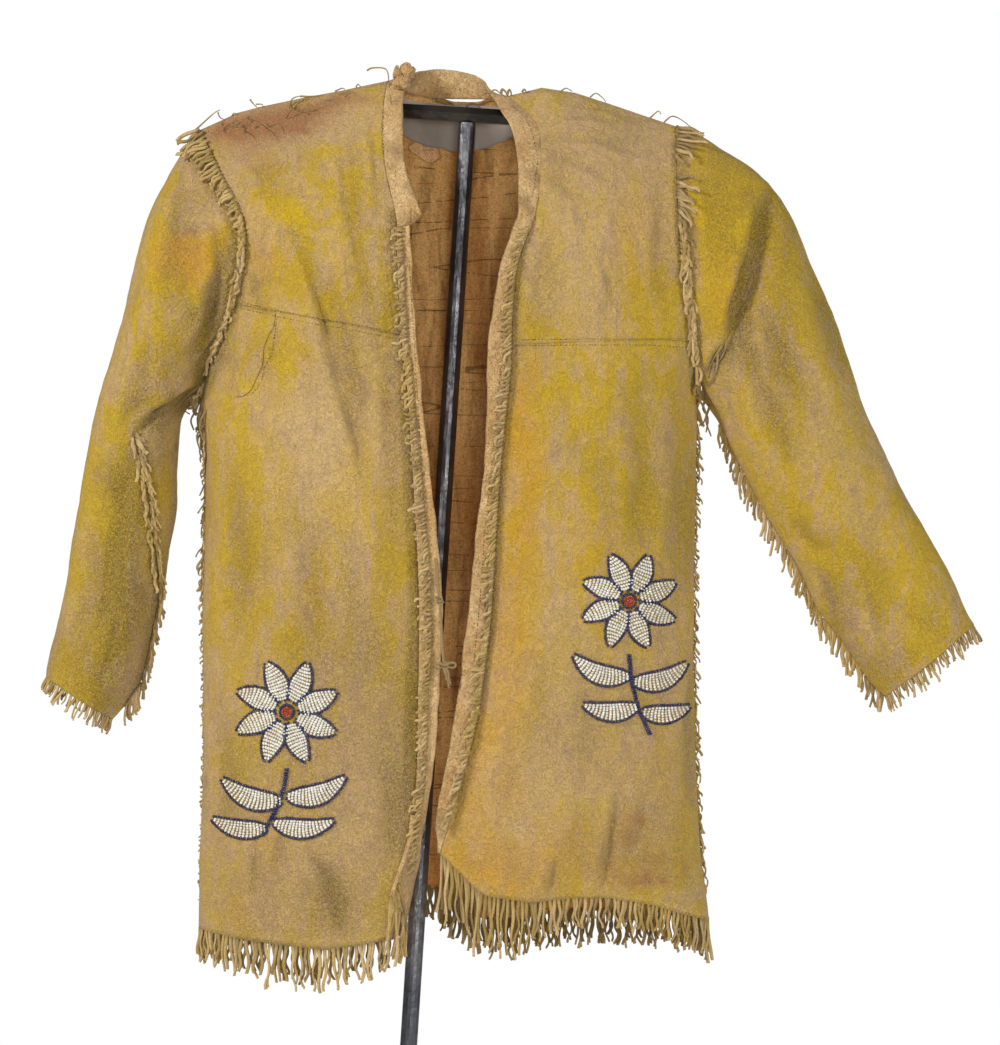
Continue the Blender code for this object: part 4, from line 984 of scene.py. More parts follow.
def make_groups():
    """The effects that several finishes share."""
    # Suede: fine nap, pores and short wrinkles, and the wrinkles' grooves, which the hides darken as painted shade
    grain, start, end = new_group("hide_grain", "ShaderNodeTree", [
        ("Place", "Vector", None), ("Nap Size", "Float", 900.0), ("Pore Size", "Float", 420.0),
        ("Pores", "Float", 0.5), ("Wrinkle Size", "Float", 70.0), ("Wrinkles", "Float", 0.4)],
        [("Height", "Float"), ("Speckle", "Float"), ("Pore Mask", "Float"), ("Groove Shade", "Float")])
    read = start.outputs
    place = read["Place"]
    nap = cloudy(grain, place, read["Nap Size"], 3.0, 0.65)
    mottle = cloudy(grain, place, times(grain, read["Nap Size"], 0.5), 3.0, 0.6)
    cells = add(grain, "ShaderNodeTexVoronoi", {"Vector": place, "Scale": read["Pore Size"], "Randomness": 1.0},
                feature="F1")
    lots = add(grain, "ShaderNodeSeparateColor", {0: cells.outputs["Color"]}).outputs[0]
    dots = times(grain, ramp(grain, cells.outputs["Distance"], 0.33, 0.1),
                 ramp(grain, plus(grain, lots, read["Pores"]), 0.95, 1.25))
    broad = cloudy(grain, place, read["Wrinkle Size"], 4.0, 0.55, 0.6)
    fine = cloudy(grain, place, times(grain, read["Wrinkle Size"], 2.7), 3.0, 0.55, 0.8)
    broad, fine = (ramp(grain, calc(grain, "ABSOLUTE", minus(grain, lines, 0.5)), 0.0, 0.1)
                   for lines in (broad, fine))
    ridge = plus(grain, times(grain, broad, 0.65), times(grain, fine, 0.35))
    height = plus(grain, times(grain, nap, 0.35), times(grain, mottle, 0.35))
    height = plus(grain, minus(grain, height, times(grain, dots, 0.5)), times(grain, ridge, read["Wrinkles"]))
    feed(grain, end, {"Height": height, "Speckle": plus(grain, times(grain, nap, 0.5), times(grain, mottle, 0.5)),
                      "Pore Mask": dots, "Groove Shade": minus(grain, 1.0, ridge)})

    # Dye: uneven streaks that run down the hide, at three sizes
    streaks, start, end = new_group("dye_streaks", "ShaderNodeTree", [
        ("Place", "Vector", None), ("Size", "Float", 14.0), ("Long", "Float", 0.4), ("Seed", "Float", 0.0)],
        [("Broad", "Float"), ("Blotch", "Float"), ("Fine", "Float")])
    read = start.outputs
    offset = add(streaks, "ShaderNodeCombineXYZ", {0: read["Seed"], 1: read["Seed"], 2: 0.0}).outputs[0]
    long = add(streaks, "ShaderNodeCombineXYZ", {0: 1.0, 1: 1.0, 2: read["Long"]}).outputs[0]
    drawn = vector_calc(streaks, "MULTIPLY", vector_calc(streaks, "ADD", read["Place"], offset), long)
    feed(streaks, end, {"Broad": cloudy(streaks, drawn, read["Size"], 4.0, 0.55, 0.4),
                        "Blotch": cloudy(streaks, drawn, times(streaks, read["Size"], 2.6), 5.0, 0.6, 0.6),
                        "Fine": cloudy(streaks, drawn, times(streaks, read["Size"], 9.0), 4.0, 0.6)})
    return {"grain": grain, "streaks": streaks}


TAN = (0.56, 0.38, 0.16)
PINK_TAN = (0.54, 0.35, 0.19)
DYE_YELLOW = (0.53, 0.345, 0.024)
DEEP_YELLOW = (0.61, 0.395, 0.004)
ORANGE = (0.60, 0.30, 0.03)
RUST = (0.34, 0.15, 0.065)
RUST_SPOT = (0.08, 0.035, 0.015)
SOIL_AND_SHADE = (0.13, 0.09, 0.026)
WORN = (0.27, 0.185, 0.085)
GROOVE_SHADE = (0.3, 0.2, 0.06)
CREAM = (0.66, 0.46, 0.23)
SMOKE_BROWN = (0.66, 0.31, 0.09)


def start_material(name):
    made = bpy.data.materials.new(name)
    made.use_nodes = True
    tree = made.node_tree
    return made, tree, tree.nodes["Principled BSDF"], tree.nodes.new("ShaderNodeTexCoord").outputs["Object"]


def mask(tree, label):
    return add(tree, "ShaderNodeAttribute", attribute_name=label).outputs["Fac"]


def layered(tree, colour, layers):
    """Colours laid over one another, each with its share."""
    for share, tint in layers:
        colour = blend_colour(tree, share, colour, tint)
    return colour


def speckled(tree, share, colour, light, dark_tint, light_tint):
    """Darkens and lightens a colour by the hide's speckle."""
    return blend_colour(tree, share, colour, blend_colour(tree, light, dark_tint, light_tint), "MULTIPLY")


def finish_with(tree, shader, inputs, height, distance, strength):
    """Sets a shader's inputs and its bump."""
    bump = add(tree, "ShaderNodeBump", {"Height": height, "Distance": distance, "Strength": strength})
    feed(tree, shader, {**inputs, "Normal": bump.outputs[0]})


def buckskin(groups, name, seed, yellowing):
    """Brain-tanned hide, dyed yellow in streaks and soiled by wear, with painted shade in its folds, in its fine
    wrinkles' grooves and under the fringe; its masks read from the sewn piece.
    """
    made, tree, shader, place = start_material(name)
    grain = place_group(tree, groups["grain"], {"Place": place, "Pores": 0.4, "Wrinkles": 1.1,
                                                "Wrinkle Size": 75.0})
    streaks = place_group(tree, groups["streaks"], {"Place": place, "Seed": seed})
    broad, blotch, fine, speckle = streaks["Broad"], streaks["Blotch"], streaks["Fine"], grain["Speckle"]
    dye = plus(tree, times(tree, ramp(tree, broad, 0.4, 0.6), 0.6),
               plus(tree, ramp(tree, blotch, 0.45, 0.6), times(tree, ramp(tree, fine, 0.6, 0.4), 0.2)))
    dye = times(tree, dye, times(tree, minus(tree, 1.0, mask(tree, "plain")), yellowing))
    dye = plus(tree, dye, times(tree, mask(tree, "yellow"), ramp(tree, fine, 0.85, 0.3)), True)
    spots = times(tree, ramp(tree, mask(tree, "rust"), 0.3, 0.8), ramp(tree, fine, 0.58, 0.68))
    worn = times(tree, ramp(tree, blotch, 0.5, 0.3), ramp(tree, fine, 0.35, 0.62))
    colour = blend_colour(tree, ramp(tree, fine, 0.38, 0.62), TAN, PINK_TAN)
    # The soil mask's layer darkens for real soil and for painted shade in the folds and under the fringe
    colour = layered(tree, colour, (
        (dye, DYE_YELLOW),
        (times(tree, ramp(tree, mask(tree, "yellow"), 0.45, 1.0), 0.75), DEEP_YELLOW),
        (times(tree, mask(tree, "orange"), ramp(tree, broad, 0.25, 0.6)), ORANGE),
        (times(tree, mask(tree, "pale"), ramp(tree, speckle, 0.3, 0.6)), CREAM),
        (times(tree, mask(tree, "soil_and_shade"), ramp(tree, speckle, 0.85, 0.25)), SOIL_AND_SHADE),
        (times(tree, mask(tree, "rust"), ramp(tree, speckle, 0.95, 0.5)), RUST),
        (times(tree, spots, 0.8), RUST_SPOT),
        (times(tree, worn, 0.45), WORN)))
    colour = speckled(tree, 0.42, colour, ramp(tree, speckle, 0.3, 0.7), (0.5, 0.46, 0.4), (1.42, 1.42, 1.4))
    # Painted shade in the grooves of the fine wrinkles, and soil in the pores
    colour = layered(tree, colour, ((times(tree, grain["Groove Shade"], 0.22), GROOVE_SHADE),
                                    (times(tree, grain["Pore Mask"], 0.55), SOIL_AND_SHADE)))
    rough = add(tree, "ShaderNodeMapRange", {0: speckle, 3: 0.98, 4: 0.78}).outputs[0]
    finish_with(tree, shader, {"Base Color": colour, "Roughness": rough, "Sheen Weight": 0.15,
                               "Sheen Roughness": 0.5, "Sheen Tint": (1.0, 0.9, 0.7, 1),
                               "Specular IOR Level": 0.2}, grain["Height"], 0.0012, 0.8)
    return made


def smoked_inside(groups):
    """The inside of the hide: smoked brown, with thin dark creases across it."""
    made, tree, shader, place = start_material("smoked_inside")
    grain = place_group(tree, groups["grain"], {"Place": place, "Pores": 0.6, "Nap Size": 700.0})
    streaks = place_group(tree, groups["streaks"], {"Place": place, "Seed": 5.0, "Size": 22.0, "Long": 0.2})
    fold = ramp(tree, mask(tree, "fold"), 0.38, 0.5)
    rim = minus(tree, ramp(tree, mask(tree, "fold"), 0.3, 0.36), fold, True)
    wide = add(tree, "ShaderNodeMapping", {"Vector": place, "Scale": (3.0, 3.0, 40.0)}).outputs[0]
    lines = calc(tree, "ABSOLUTE", minus(tree, cloudy(tree, wide, 1.3, 1.0, 0.4), 0.5))
    lines = times(tree, ramp(tree, lines, 0.014, 0.002), ramp(tree, streaks["Blotch"], 0.42, 0.5))
    colour = blend_colour(tree, ramp(tree, streaks["Broad"], 0.35, 0.62), SMOKE_BROWN, (1.0, 0.6, 0.22))
    colour = layered(tree, colour, (
        (ramp(tree, streaks["Blotch"], 0.42, 0.78), (0.36, 0.15, 0.045)),
        (times(tree, fold, 0.6), (0.98, 0.62, 0.34)),
        (times(tree, rim, 0.45), (0.2, 0.08, 0.03)),
        (times(tree, lines, 0.6), (0.12, 0.05, 0.02))))
    light = ramp(tree, grain["Speckle"], 0.25, 0.75)
    colour = speckled(tree, 0.6, colour, light, (0.45, 0.42, 0.4), (1.4, 1.4, 1.35))
    colour = blend_colour(tree, times(tree, grain["Pore Mask"], 0.6), colour, (0.06, 0.025, 0.01))
    height = minus(tree, grain["Height"], times(tree, lines, 0.8))
    finish_with(tree, shader, {"Base Color": colour, "Roughness": 0.92, "Specular IOR Level": 0.15},
                height, 0.0012, 0.8)
    return made


def pale_hide(groups):
    """The cream hide of the bands and the collar, handled until it speckled brown."""
    made, tree, shader, place = start_material("pale_hide")
    grain = place_group(tree, groups["grain"], {"Place": place, "Pores": 0.75, "Pore Size": 330.0,
                                                "Wrinkle Size": 110.0, "Wrinkles": 0.8})
    streaks = place_group(tree, groups["streaks"], {"Place": place, "Seed": 9.0, "Size": 30.0, "Long": 0.7})
    colour = blend_colour(tree, ramp(tree, streaks["Broad"], 0.3, 0.7), (0.80, 0.55, 0.27), (0.64, 0.39, 0.15))
    # The grooves of the fine wrinkles get painted shade; the soil mask holds real soil and, on the bands, painted
    # shadow of the fringe
    colour = layered(tree, colour, (
        (times(tree, ramp(tree, streaks["Fine"], 0.52, 0.7), 0.5), (0.27, 0.145, 0.05)),
        (times(tree, grain["Groove Shade"], 0.35), (0.3, 0.16, 0.06)),
        (times(tree, mask(tree, "soil_and_shade"), 0.85), (0.16, 0.09, 0.032))))
    light = ramp(tree, grain["Speckle"], 0.28, 0.7)
    colour = speckled(tree, 0.5, colour, light, (0.5, 0.46, 0.4), (1.3, 1.3, 1.28))
    colour = blend_colour(tree, times(tree, grain["Pore Mask"], 0.62), colour, (0.2, 0.1, 0.035))
    finish_with(tree, shader, {"Base Color": colour, "Roughness": 0.88, "Sheen Weight": 0.15,
                               "Specular IOR Level": 0.2}, grain["Height"], 0.0014, 0.9)
    return made


def thong_hide(groups, name, light, dark, yellow):
    """Cut strands and thongs: each strand a little different, with painted shade at its root and on the strands
    marked to lie behind.
    """
    made, tree, shader, place = start_material(name)
    grain = place_group(tree, groups["grain"], {"Place": place, "Nap Size": 1400.0, "Wrinkle Size": 260.0,
                                                "Wrinkles": 0.7})
    streaks = place_group(tree, groups["streaks"], {"Place": place, "Seed": 3.0, "Size": 22.0, "Long": 0.6})
    # Painted shade: each strand darker where it leaves the hide, and the strands of the row behind darker by their
    # shade attribute
    root = ramp(tree, mask(tree, "along"), 0.22, 0.0)
    colour = layered(tree, blend_colour(tree, mask(tree, "lot"), light, dark), (
        (times(tree, root, 0.6), (0.14, 0.085, 0.03)),
        (mask(tree, "shade"), (0.13, 0.08, 0.028)),
        (times(tree, ramp(tree, streaks["Broad"], 0.4, 0.62), yellow), DYE_YELLOW)))
    speck = ramp(tree, grain["Speckle"], 0.28, 0.7)
    colour = speckled(tree, 0.6, colour, speck, (0.45, 0.42, 0.36), (1.3, 1.3, 1.25))
    finish_with(tree, shader, {"Base Color": colour, "Roughness": 0.88, "Sheen Weight": 0.12,
                               "Specular IOR Level": 0.2}, grain["Height"], 0.0007, 0.7)
    return made


THREAD = 0.0011  # a thread and its neighbour in the woven cloth


def grey_lining(groups):
    """Plain woven grey cloth."""
    made, tree, shader, place = start_material("grey_lining")
    split = add(tree, "ShaderNodeSeparateXYZ", {0: place}).outputs
    weave = [calc(tree, "SINE", times(tree, split[axis], 2 * math.pi / THREAD)) for axis in (0, 2)]
    threads = times(tree, *weave)
    streaks = place_group(tree, groups["streaks"], {"Place": place, "Seed": 2.0, "Size": 26.0, "Long": 0.5})
    colour = blend_colour(tree, ramp(tree, streaks["Broad"], 0.3, 0.7), (0.40, 0.34, 0.28), (0.56, 0.49, 0.42))
    colour = blend_colour(tree, times(tree, ramp(tree, threads, -0.6, 0.6), 0.25), colour, (0.12, 0.1, 0.08))
    finish_with(tree, shader, {"Base Color": colour, "Roughness": 0.9}, threads, 0.0003, 0.5)
    return made


def forged_iron(name, dark, light, dent=0.005, smooth=0.26):
    """Blackened forged iron: soft shine, hammer marks, a little brown where it is bare."""
    made, tree, shader, place = start_material(name)
    dents = cloudy(tree, place, 55.0, 2.0, 0.45)
    scale = cloudy(tree, place, 420.0, 4.0, 0.7)
    colour = blend_colour(tree, ramp(tree, cloudy(tree, place, 16.0, 3.0), 0.3, 0.7), dark, light)
    colour = blend_colour(tree, times(tree, ramp(tree, scale, 0.58, 0.7), 0.6), colour, (0.05, 0.035, 0.028))
    rough = add(tree, "ShaderNodeMapRange", {0: scale, 1: 0.3, 2: 0.7, 3: smooth, 4: smooth + 0.2}).outputs[0]
    finish_with(tree, shader, {"Base Color": colour, "Metallic": 0.9, "Roughness": rough},
                plus(tree, dents, times(tree, scale, 0.12)), dent, 0.6)
    return made


def bead_glass():
    """Small glass beads in the colour that each point carries."""
    made, tree, shader, place = start_material("bead_glass")
    tint = add(tree, "ShaderNodeAttribute", attribute_name="tint").outputs["Color"]
    dirt = cloudy(tree, place, 260.0)
    colour = blend_colour(tree, times(tree, ramp(tree, dirt, 0.5, 0.75), 0.3), tint, (0.35, 0.27, 0.16))
    finish_with(tree, shader, {"Base Color": colour, "Roughness": 0.28, "Coat Weight": 0.3}, dirt, 0.0002, 0.3)
    return made


# ---- Stains, dye and painted shade, as seen on the coat --------------------------------------------------------

# Photograph pixels: middle x and y, half width and half height, and then how strong it is
FRONT_PATCHES = {
    "yellow": (
        (281, 209, 22, 20, 1.0), (371, 140, 10, 38, 0.7), (340, 152, 22, 12, 0.6),
        (329, 296, 11, 16, 0.9), (347, 336, 20, 24, 0.5), (257, 278, 18, 24, 0.7),
        (290, 358, 12, 20, 0.8), (265, 351, 9, 11, 0.8), (252, 386, 20, 16, 0.7),
        (229, 344, 9, 24, 0.6), (300, 250, 16, 50, 0.45), (345, 190, 14, 40, 0.35),
        (240, 450, 26, 60, 0.5), (245, 560, 20, 50, 0.4), (300, 640, 40, 30, 0.25),
        (360, 480, 16, 60, 0.3), (250, 730, 40, 60, 0.25), (225, 880, 20, 30, 0.3),
        (320, 900, 26, 20, 0.25), (385, 920, 14, 14, 0.4),
        (720, 190, 40, 40, 0.8), (760, 230, 30, 60, 0.6), (715, 290, 16, 60, 0.75),
        (800, 350, 40, 60, 0.35), (830, 480, 40, 60, 0.4), (900, 590, 40, 50, 0.4),
        (945, 640, 20, 14, 0.6), (780, 470, 30, 40, 0.35),
        (660, 330, 30, 60, 0.6), (560, 380, 26, 50, 0.5), (620, 470, 50, 60, 0.5),
        (540, 330, 20, 20, 0.4), (655, 560, 30, 60, 0.4), (580, 640, 24, 40, 0.35),
        (575, 810, 30, 24, 0.35), (545, 700, 30, 40, 0.25), (600, 385, 70, 22, 0.3),
        (205, 250, 9, 14, 0.9), (164, 285, 15, 14, 0.9), (162, 345, 22, 40, 0.55),
        (150, 250, 12, 50, 0.5), (110, 440, 22, 40, 0.5), (95, 560, 20, 60, 0.4),
        (85, 650, 30, 24, 0.35), (190, 470, 14, 40, 0.4), (146, 690, 14, 30, 0.35),
        (170, 200, 14, 30, 0.35)),
    "orange": (
        (182, 258, 24, 22, 0.85), (196, 240, 14, 12, 0.5), (522, 400, 18, 50, 0.5),
        (526, 500, 22, 70, 0.6), (514, 610, 20, 50, 0.5), (498, 700, 24, 60, 0.45),
        (485, 800, 34, 60, 0.6), (540, 860, 70, 28, 0.35), (500, 860, 26, 20, 0.45),
        (580, 560, 30, 40, 0.2), (640, 240, 30, 50, 0.2), (310, 620, 50, 40, 0.15),
        (720, 290, 12, 30, 0.3),
        (265, 255, 10, 30, 0.2), (262, 845, 14, 30, 0.25), (236, 905, 14, 16, 0.3)),
    "plain": (  # where the yellow dye never took, or wore off
        (260, 130, 60, 26, 1.0), (320, 110, 60, 20, 0.9), (235, 190, 16, 40, 0.9),
        (350, 120, 30, 30, 0.7), (590, 150, 60, 50, 0.9), (655, 180, 20, 60, 0.9),
        (330, 440, 50, 70, 0.8), (300, 860, 110, 90, 0.75), (370, 760, 40, 90, 0.6),
        (250, 270, 12, 26, 0.9), (560, 280, 50, 40, 0.6), (670, 470, 20, 70, 0.6),
        (560, 700, 30, 90, 0.5), (850, 460, 40, 60, 0.5), (180, 205, 20, 24, 0.8),
        (640, 800, 50, 70, 0.6), (110, 620, 40, 60, 0.4), (530, 790, 60, 90, 0.55),
        (800, 420, 30, 50, 0.4)),
    "rust": (
        (258, 124, 34, 13, 0.85), (292, 114, 32, 11, 0.85), (224, 129, 24, 12, 0.85),
        (310, 101, 28, 7, 0.85), (342, 92, 26, 6, 0.8), (352, 166, 3, 3, 0.8),
        (290, 124, 14, 3, 0.5), (272, 130, 4, 8, 0.5), (250, 150, 16, 14, 0.25),
        (305, 128, 3, 2.5, 0.8), (217, 126, 3, 2.5, 0.6), (299, 152, 3, 14, 0.35),
        (270, 165, 10, 12, 0.3), (388, 407, 4, 4, 0.75), (192, 228, 9, 4, 0.5),
        (260, 250, 7, 12, 0.3), (262, 198, 4, 5, 0.3), (640, 885, 22, 9, 0.75),
        (628, 834, 8, 14, 0.5), (637, 818, 7, 7, 0.45), (655, 864, 16, 8, 0.45),
        (612, 868, 12, 6, 0.35),
        (664, 888, 4, 3, 0.6), (682, 872, 3, 8, 0.4), (355, 205, 2, 2, 0.7),
        (336, 305, 1.8, 1.8, 0.8), (308, 353, 1.8, 1.8, 0.6), (512, 636, 8, 8, 0.2)),
    # Soil, and painted shade: some patches are real soil; others paint the shade in the sleeves' folds and beside the
    # armholes, under the right sleeve's overhanging fold and on the right sleeve's inside seen past its fringe
    "soil_and_shade": (
        (208, 310, 12, 34, 0.75), (203, 345, 14, 20, 0.5), (195, 355, 26, 22, 0.3),
        (178, 190, 9, 46, 0.3), (300, 905, 110, 42, 0.4), (250, 800, 60, 60, 0.25),
        (360, 800, 50, 60, 0.3), (250, 345, 24, 26, 0.25), (330, 700, 60, 60, 0.2),
        (125, 560, 14, 90, 0.45), (80, 660, 36, 24, 0.4), (100, 690, 40, 14, 0.4),
        (620, 862, 60, 24, 0.2), (900, 660, 60, 20, 0.35), (850, 600, 14, 60, 0.25),
        (735, 330, 14, 34, 0.5), (745, 270, 7, 40, 0.35), (690, 250, 8, 60, 0.2),
        (690, 760, 10, 80, 0.2), (265, 560, 50, 60, 0.12),
        (150, 480, 20, 40, 0.25), (535, 175, 14, 40, 0.2), (120, 500, 12, 60, 0.55),
        (108, 620, 34, 60, 0.4), (169, 480, 8, 90, 0.55), (780, 260, 14, 70, 0.35),
        (752, 330, 10, 50, 0.35), (758, 225, 10, 40, 0.5), (740, 300, 8, 40, 0.5),
        (222, 270, 8, 30, 0.35), (165, 410, 40, 12, 0.4), (155, 640, 14, 50, 0.5),
        (270, 640, 60, 30, 0.15), (390, 700, 20, 150, 0.3)),
    "pale": (
        (634, 798, 5, 3.5, 0.85), (637, 832, 5, 3.5, 0.85), (636, 850, 5, 3, 0.7),
        (330, 420, 40, 60, 0.22), (350, 560, 30, 80, 0.18), (300, 118, 60, 14, 0.12),
        (560, 640, 20, 60, 0.15), (520, 780, 20, 50, 0.2), (300, 470, 40, 50, 0.2)),
}


# Painted shadow that the fringe casts on the hide beside it: a line in pixels, half its width in millimetres, and how
# dark
FRINGE_SHADOW = (
    (((393, 212), (396, 250), (400, 300), (402, 340), (406, 380), (409, 440), (412, 500), (415, 540), (416, 590),
      (414, 650), (412, 700), (410, 780), (410, 824), (406, 860)), 7, 0.7),
    (((528, 226), (522, 262), (514, 330), (511, 400), (505, 450), (499, 520), (496, 560), (493, 620), (485, 680),
      (478, 740), (468, 780), (453, 824)), 5.5, 0.45),
    (((192, 136), (202, 158), (213, 182), (232, 212), (239, 240), (238, 268), (233, 292), (224, 322), (212, 348),
      (198, 390)), 10, 0.8),
    (((681, 140), (683, 200), (686, 260), (694, 330), (700, 385)), 8, 0.7),
    (((138, 445), (146, 490), (152, 545), (156, 600), (146, 655), (130, 704)), 8, 0.7),
)


def stains(points, behind=False):
    """The masks of a grid's points: patches on the front, and looser ones of the same kinds behind."""
    flat_x, flat_z = coat_mm(points)
    x = flat_x + lumps(points, 0.045, 1) * 13 + lumps(points, 0.014, 2) * 4
    z = flat_z + lumps(points, 0.05, 3) * 16
    made = {}
    for kind, patches in FRONT_PATCHES.items():
        stray = 0.4 if kind == "rust" else 1.0  # small patches are kept nearer their places
        at_x, at_z = flat_x + stray * (x - flat_x), flat_z + stray * (z - flat_z)
        total = np.zeros(x.shape)
        if not behind:
            for px, py, wide, high, amount in patches:
                cx, cz = photo_mm(px, py)
                spread = ((at_x - cx) / (wide * PIXEL_MM)) ** 2 + ((at_z - cz) / (high * PIXEL_MM)) ** 2
                total += amount * np.exp(-0.8 * spread)
        made[kind] = total
    if behind:
        broad = lumps(points, 0.09, 11, (1, 1, 0.45))
        made["yellow"] = np.clip(broad * 0.9 + 0.1, 0, 0.8)
        made["orange"] = np.clip(lumps(points, 0.11, 12, (1, 1, 0.4)) * 1.2 - 0.35, 0, 0.5)
        low = np.clip((1000 - z) / 450, 0, 1) ** 2
        made["soil_and_shade"] = np.clip(lumps(points, 0.12, 13) * 0.9 - 0.1, 0, 0.45) + 0.25 * low
        made["rust"] = np.clip(lumps(points, 0.03, 14) * 1.6 - 1.15, 0, 0.6)
        made["pale"] = np.clip(lumps(points, 0.07, 15) * 0.8 - 0.3, 0, 0.25)
        made["plain"] = np.clip(lumps(points, 0.08, 16, (1, 1, 0.5)), 0, 0.8)
    else:
        # Painted shadow of the fringe on the hide beside it, added to the soil mask
        for line, width, amount in FRINGE_SHADOW:
            away, _ = away_from_line(flat_x, flat_z, [photo_mm(px, py) for px, py in line])
            made["soil_and_shade"] = made["soil_and_shade"] + amount * np.exp(-(away / width) ** 4)
    return {kind: np.clip(values, 0, 1) for kind, values in made.items()}


def inner_fold(points):
    """A pale folded place inside the back, left of the pole."""
    x, z = coat_mm(points)
    x, z = x + lumps(points, 0.012, 4) * 6, z + lumps(points, 0.012, 5) * 6
    cx, cz = photo_mm(426, 152, 85)
    return np.exp(-0.8 * (((x - cx) / 13) ** 2 + ((z - cz + 0.35 * (x - cx)) / 10) ** 2))


# ---- Creases seen on the photograph ---------------------------------------------------------------------------

# Each is a line in photograph pixels, and its width and depth in millimetres
RIGHT_CREASES = (
    (((372, 110), (374, 160), (380, 220)), 3.4, 0.9), (((340, 130), (344, 190), (352, 240)), 4.0, 0.9),
    (((248, 318), (262, 350), (268, 400)), 4.0, 1.0), (((300, 322), (306, 370), (316, 420)), 4.0, 1.0),
    (((340, 332), (350, 372), (364, 410)), 4.0, 0.9), (((238, 300), (262, 282), (290, 280)), 4.0, 0.9),
    (((283, 215), (305, 260), (322, 310), (340, 380), (356, 440), (366, 490)), 5.0, 2.6),
    (((322, 262), (336, 300), (350, 350), (362, 410)), 6.0, 1.6),
    (((352, 180), (356, 240), (368, 300), (384, 360)), 8.0, 1.6),
    (((250, 270), (256, 300), (270, 330)), 5.0, 1.4),
    (((276, 320), (275, 345), (266, 372)), 3.0, 0.9),
    (((385, 340), (388, 420), (392, 520), (396, 600)), 8.0, 1.8),
    (((230, 460), (236, 560), (232, 640)), 9.0, 1.6),
    (((300, 500), (310, 600), (300, 700)), 14.0, 1.6),
    (((345, 520), (356, 620), (352, 720)), 12.0, 1.4),
    (((255, 838), (252, 870), (249, 900)), 3.2, 1.7),
    (((283, 824), (277, 850), (270, 880)), 4.0, 1.3),
    (((306, 850), (326, 880), (336, 910), (340, 945)), 6.0, 3.0),
    (((300, 880), (318, 905), (322, 940)), 8.0, 1.6),
    (((388, 760), (392, 820), (386, 880)), 8.0, 1.6),
    (((216, 700), (222, 780), (218, 860)), 8.0, 1.4),
    (((240, 140), (262, 175), (282, 215)), 7.0, 1.4),
)
LEFT_CREASES = (
    (((546, 116), (590, 110), (640, 118)), 3.2, 0.9), (((550, 133), (600, 137), (650, 150)), 3.4, 1.0),
    (((548, 150), (590, 166), (622, 188)), 3.4, 1.0), (((545, 170), (574, 196), (588, 228)), 3.2, 1.0),
    (((560, 98), (610, 102), (655, 120)), 3.2, 0.7), (((600, 240), (612, 290), (604, 330)), 5.0, 0.9),
    (((570, 620), (585, 700), (582, 790)), 10.0, 1.4),
    (((545, 640), (540, 720), (552, 800)), 12.0, 1.5),
    (((618, 795), (610, 840), (606, 880), (600, 896)), 4.0, 2.0),
    (((556, 850), (552, 880), (546, 905)), 4.0, 1.5),
    (((650, 790), (640, 830), (628, 862)), 6.0, 1.3),
    (((590, 800), (575, 840), (560, 880)), 9.0, 1.2),
    (((690, 440), (680, 520), (684, 600)), 8.0, 1.6),
    (((640, 400), (648, 480), (640, 560)), 14.0, 1.3),
    (((545, 230), (540, 290), (530, 340)), 6.0, 1.2),
    (((600, 440), (606, 520), (600, 600)), 14.0, 1.2),
    (((545, 125), (560, 160), (556, 200)), 7.0, 1.5),
    (((670, 180), (660, 240), (668, 320)), 9.0, 1.2),
    (((696, 640), (690, 720), (698, 820)), 7.0, 1.6),
    (((520, 690), (512, 760), (500, 830)), 8.0, 1.5),
)
RIGHT_SLEEVE_CREASES = (
    (((222, 262), (214, 300), (206, 330), (192, 356)), 5.0, 5.0),
    (((212, 225), (219, 250), (218, 276)), 4.0, 2.5),
    (((225, 330), (210, 352), (196, 366)), 4.0, 3.5),
    (((205, 384), (180, 400), (155, 414), (135, 436)), 4.6, 5.5),
    (((138, 440), (122, 500), (110, 560), (98, 640)), 9.0, 3.0),
    (((150, 330), (136, 380), (120, 430)), 10.0, 2.2),
    (((100, 500), (90, 560), (74, 640)), 10.0, 2.0),
    (((178, 180), (170, 240), (160, 300)), 9.0, 2.0),
    (((120, 600), (112, 650), (96, 690)), 6.0, 1.8),
)
LEFT_SLEEVE_CREASES = (
    (((772, 190), (756, 230), (744, 268), (734, 305), (730, 340)), 4.2, 6.5),
    (((728, 345), (716, 358), (706, 372)), 4.0, 4.0),
    (((745, 350), (770, 420), (790, 470)), 10.0, 2.4),
    (((760, 300), (780, 360), (800, 400)), 9.0, 2.4),
    (((815, 560), (828, 590), (840, 640)), 6.0, 2.6),
    (((850, 540), (866, 590), (880, 640)), 8.0, 2.2),
    (((800, 250), (830, 330), (850, 390)), 10.0, 2.0),
    (((700, 170), (716, 220), (718, 270)), 7.0, 2.0),
    (((900, 600), (925, 625), (950, 640)), 7.0, 1.5),
    (((790, 520), (815, 545), (850, 560)), 8.0, 1.6),
)
# Creases of the same kind on the back, where no picture shows them, on the same pixel plane
BACK_CREASES = (
    (((300, 240), (330, 330), (340, 430)), 9.0, 2.4), (((600, 230), (575, 330), (570, 450)), 10.0, 2.4),
    (((440, 200), (450, 330), (440, 480)), 12.0, 2.0), (((250, 500), (262, 620), (250, 740)), 12.0, 2.2),
    (((360, 560), (352, 700), (366, 830)), 13.0, 2.4), (((520, 540), (532, 680), (520, 820)), 14.0, 2.2),
    (((640, 520), (630, 640), (642, 780)), 11.0, 2.2), (((420, 700), (430, 800), (420, 900)), 9.0, 2.6),
    (((600, 700), (590, 800), (598, 890)), 8.0, 2.2), (((300, 760), (292, 850), (300, 910)), 8.0, 2.4),
    (((220, 300), (250, 340), (300, 360)), 7.0, 2.0), (((690, 300), (650, 345), (600, 362)), 7.0, 2.0),
)

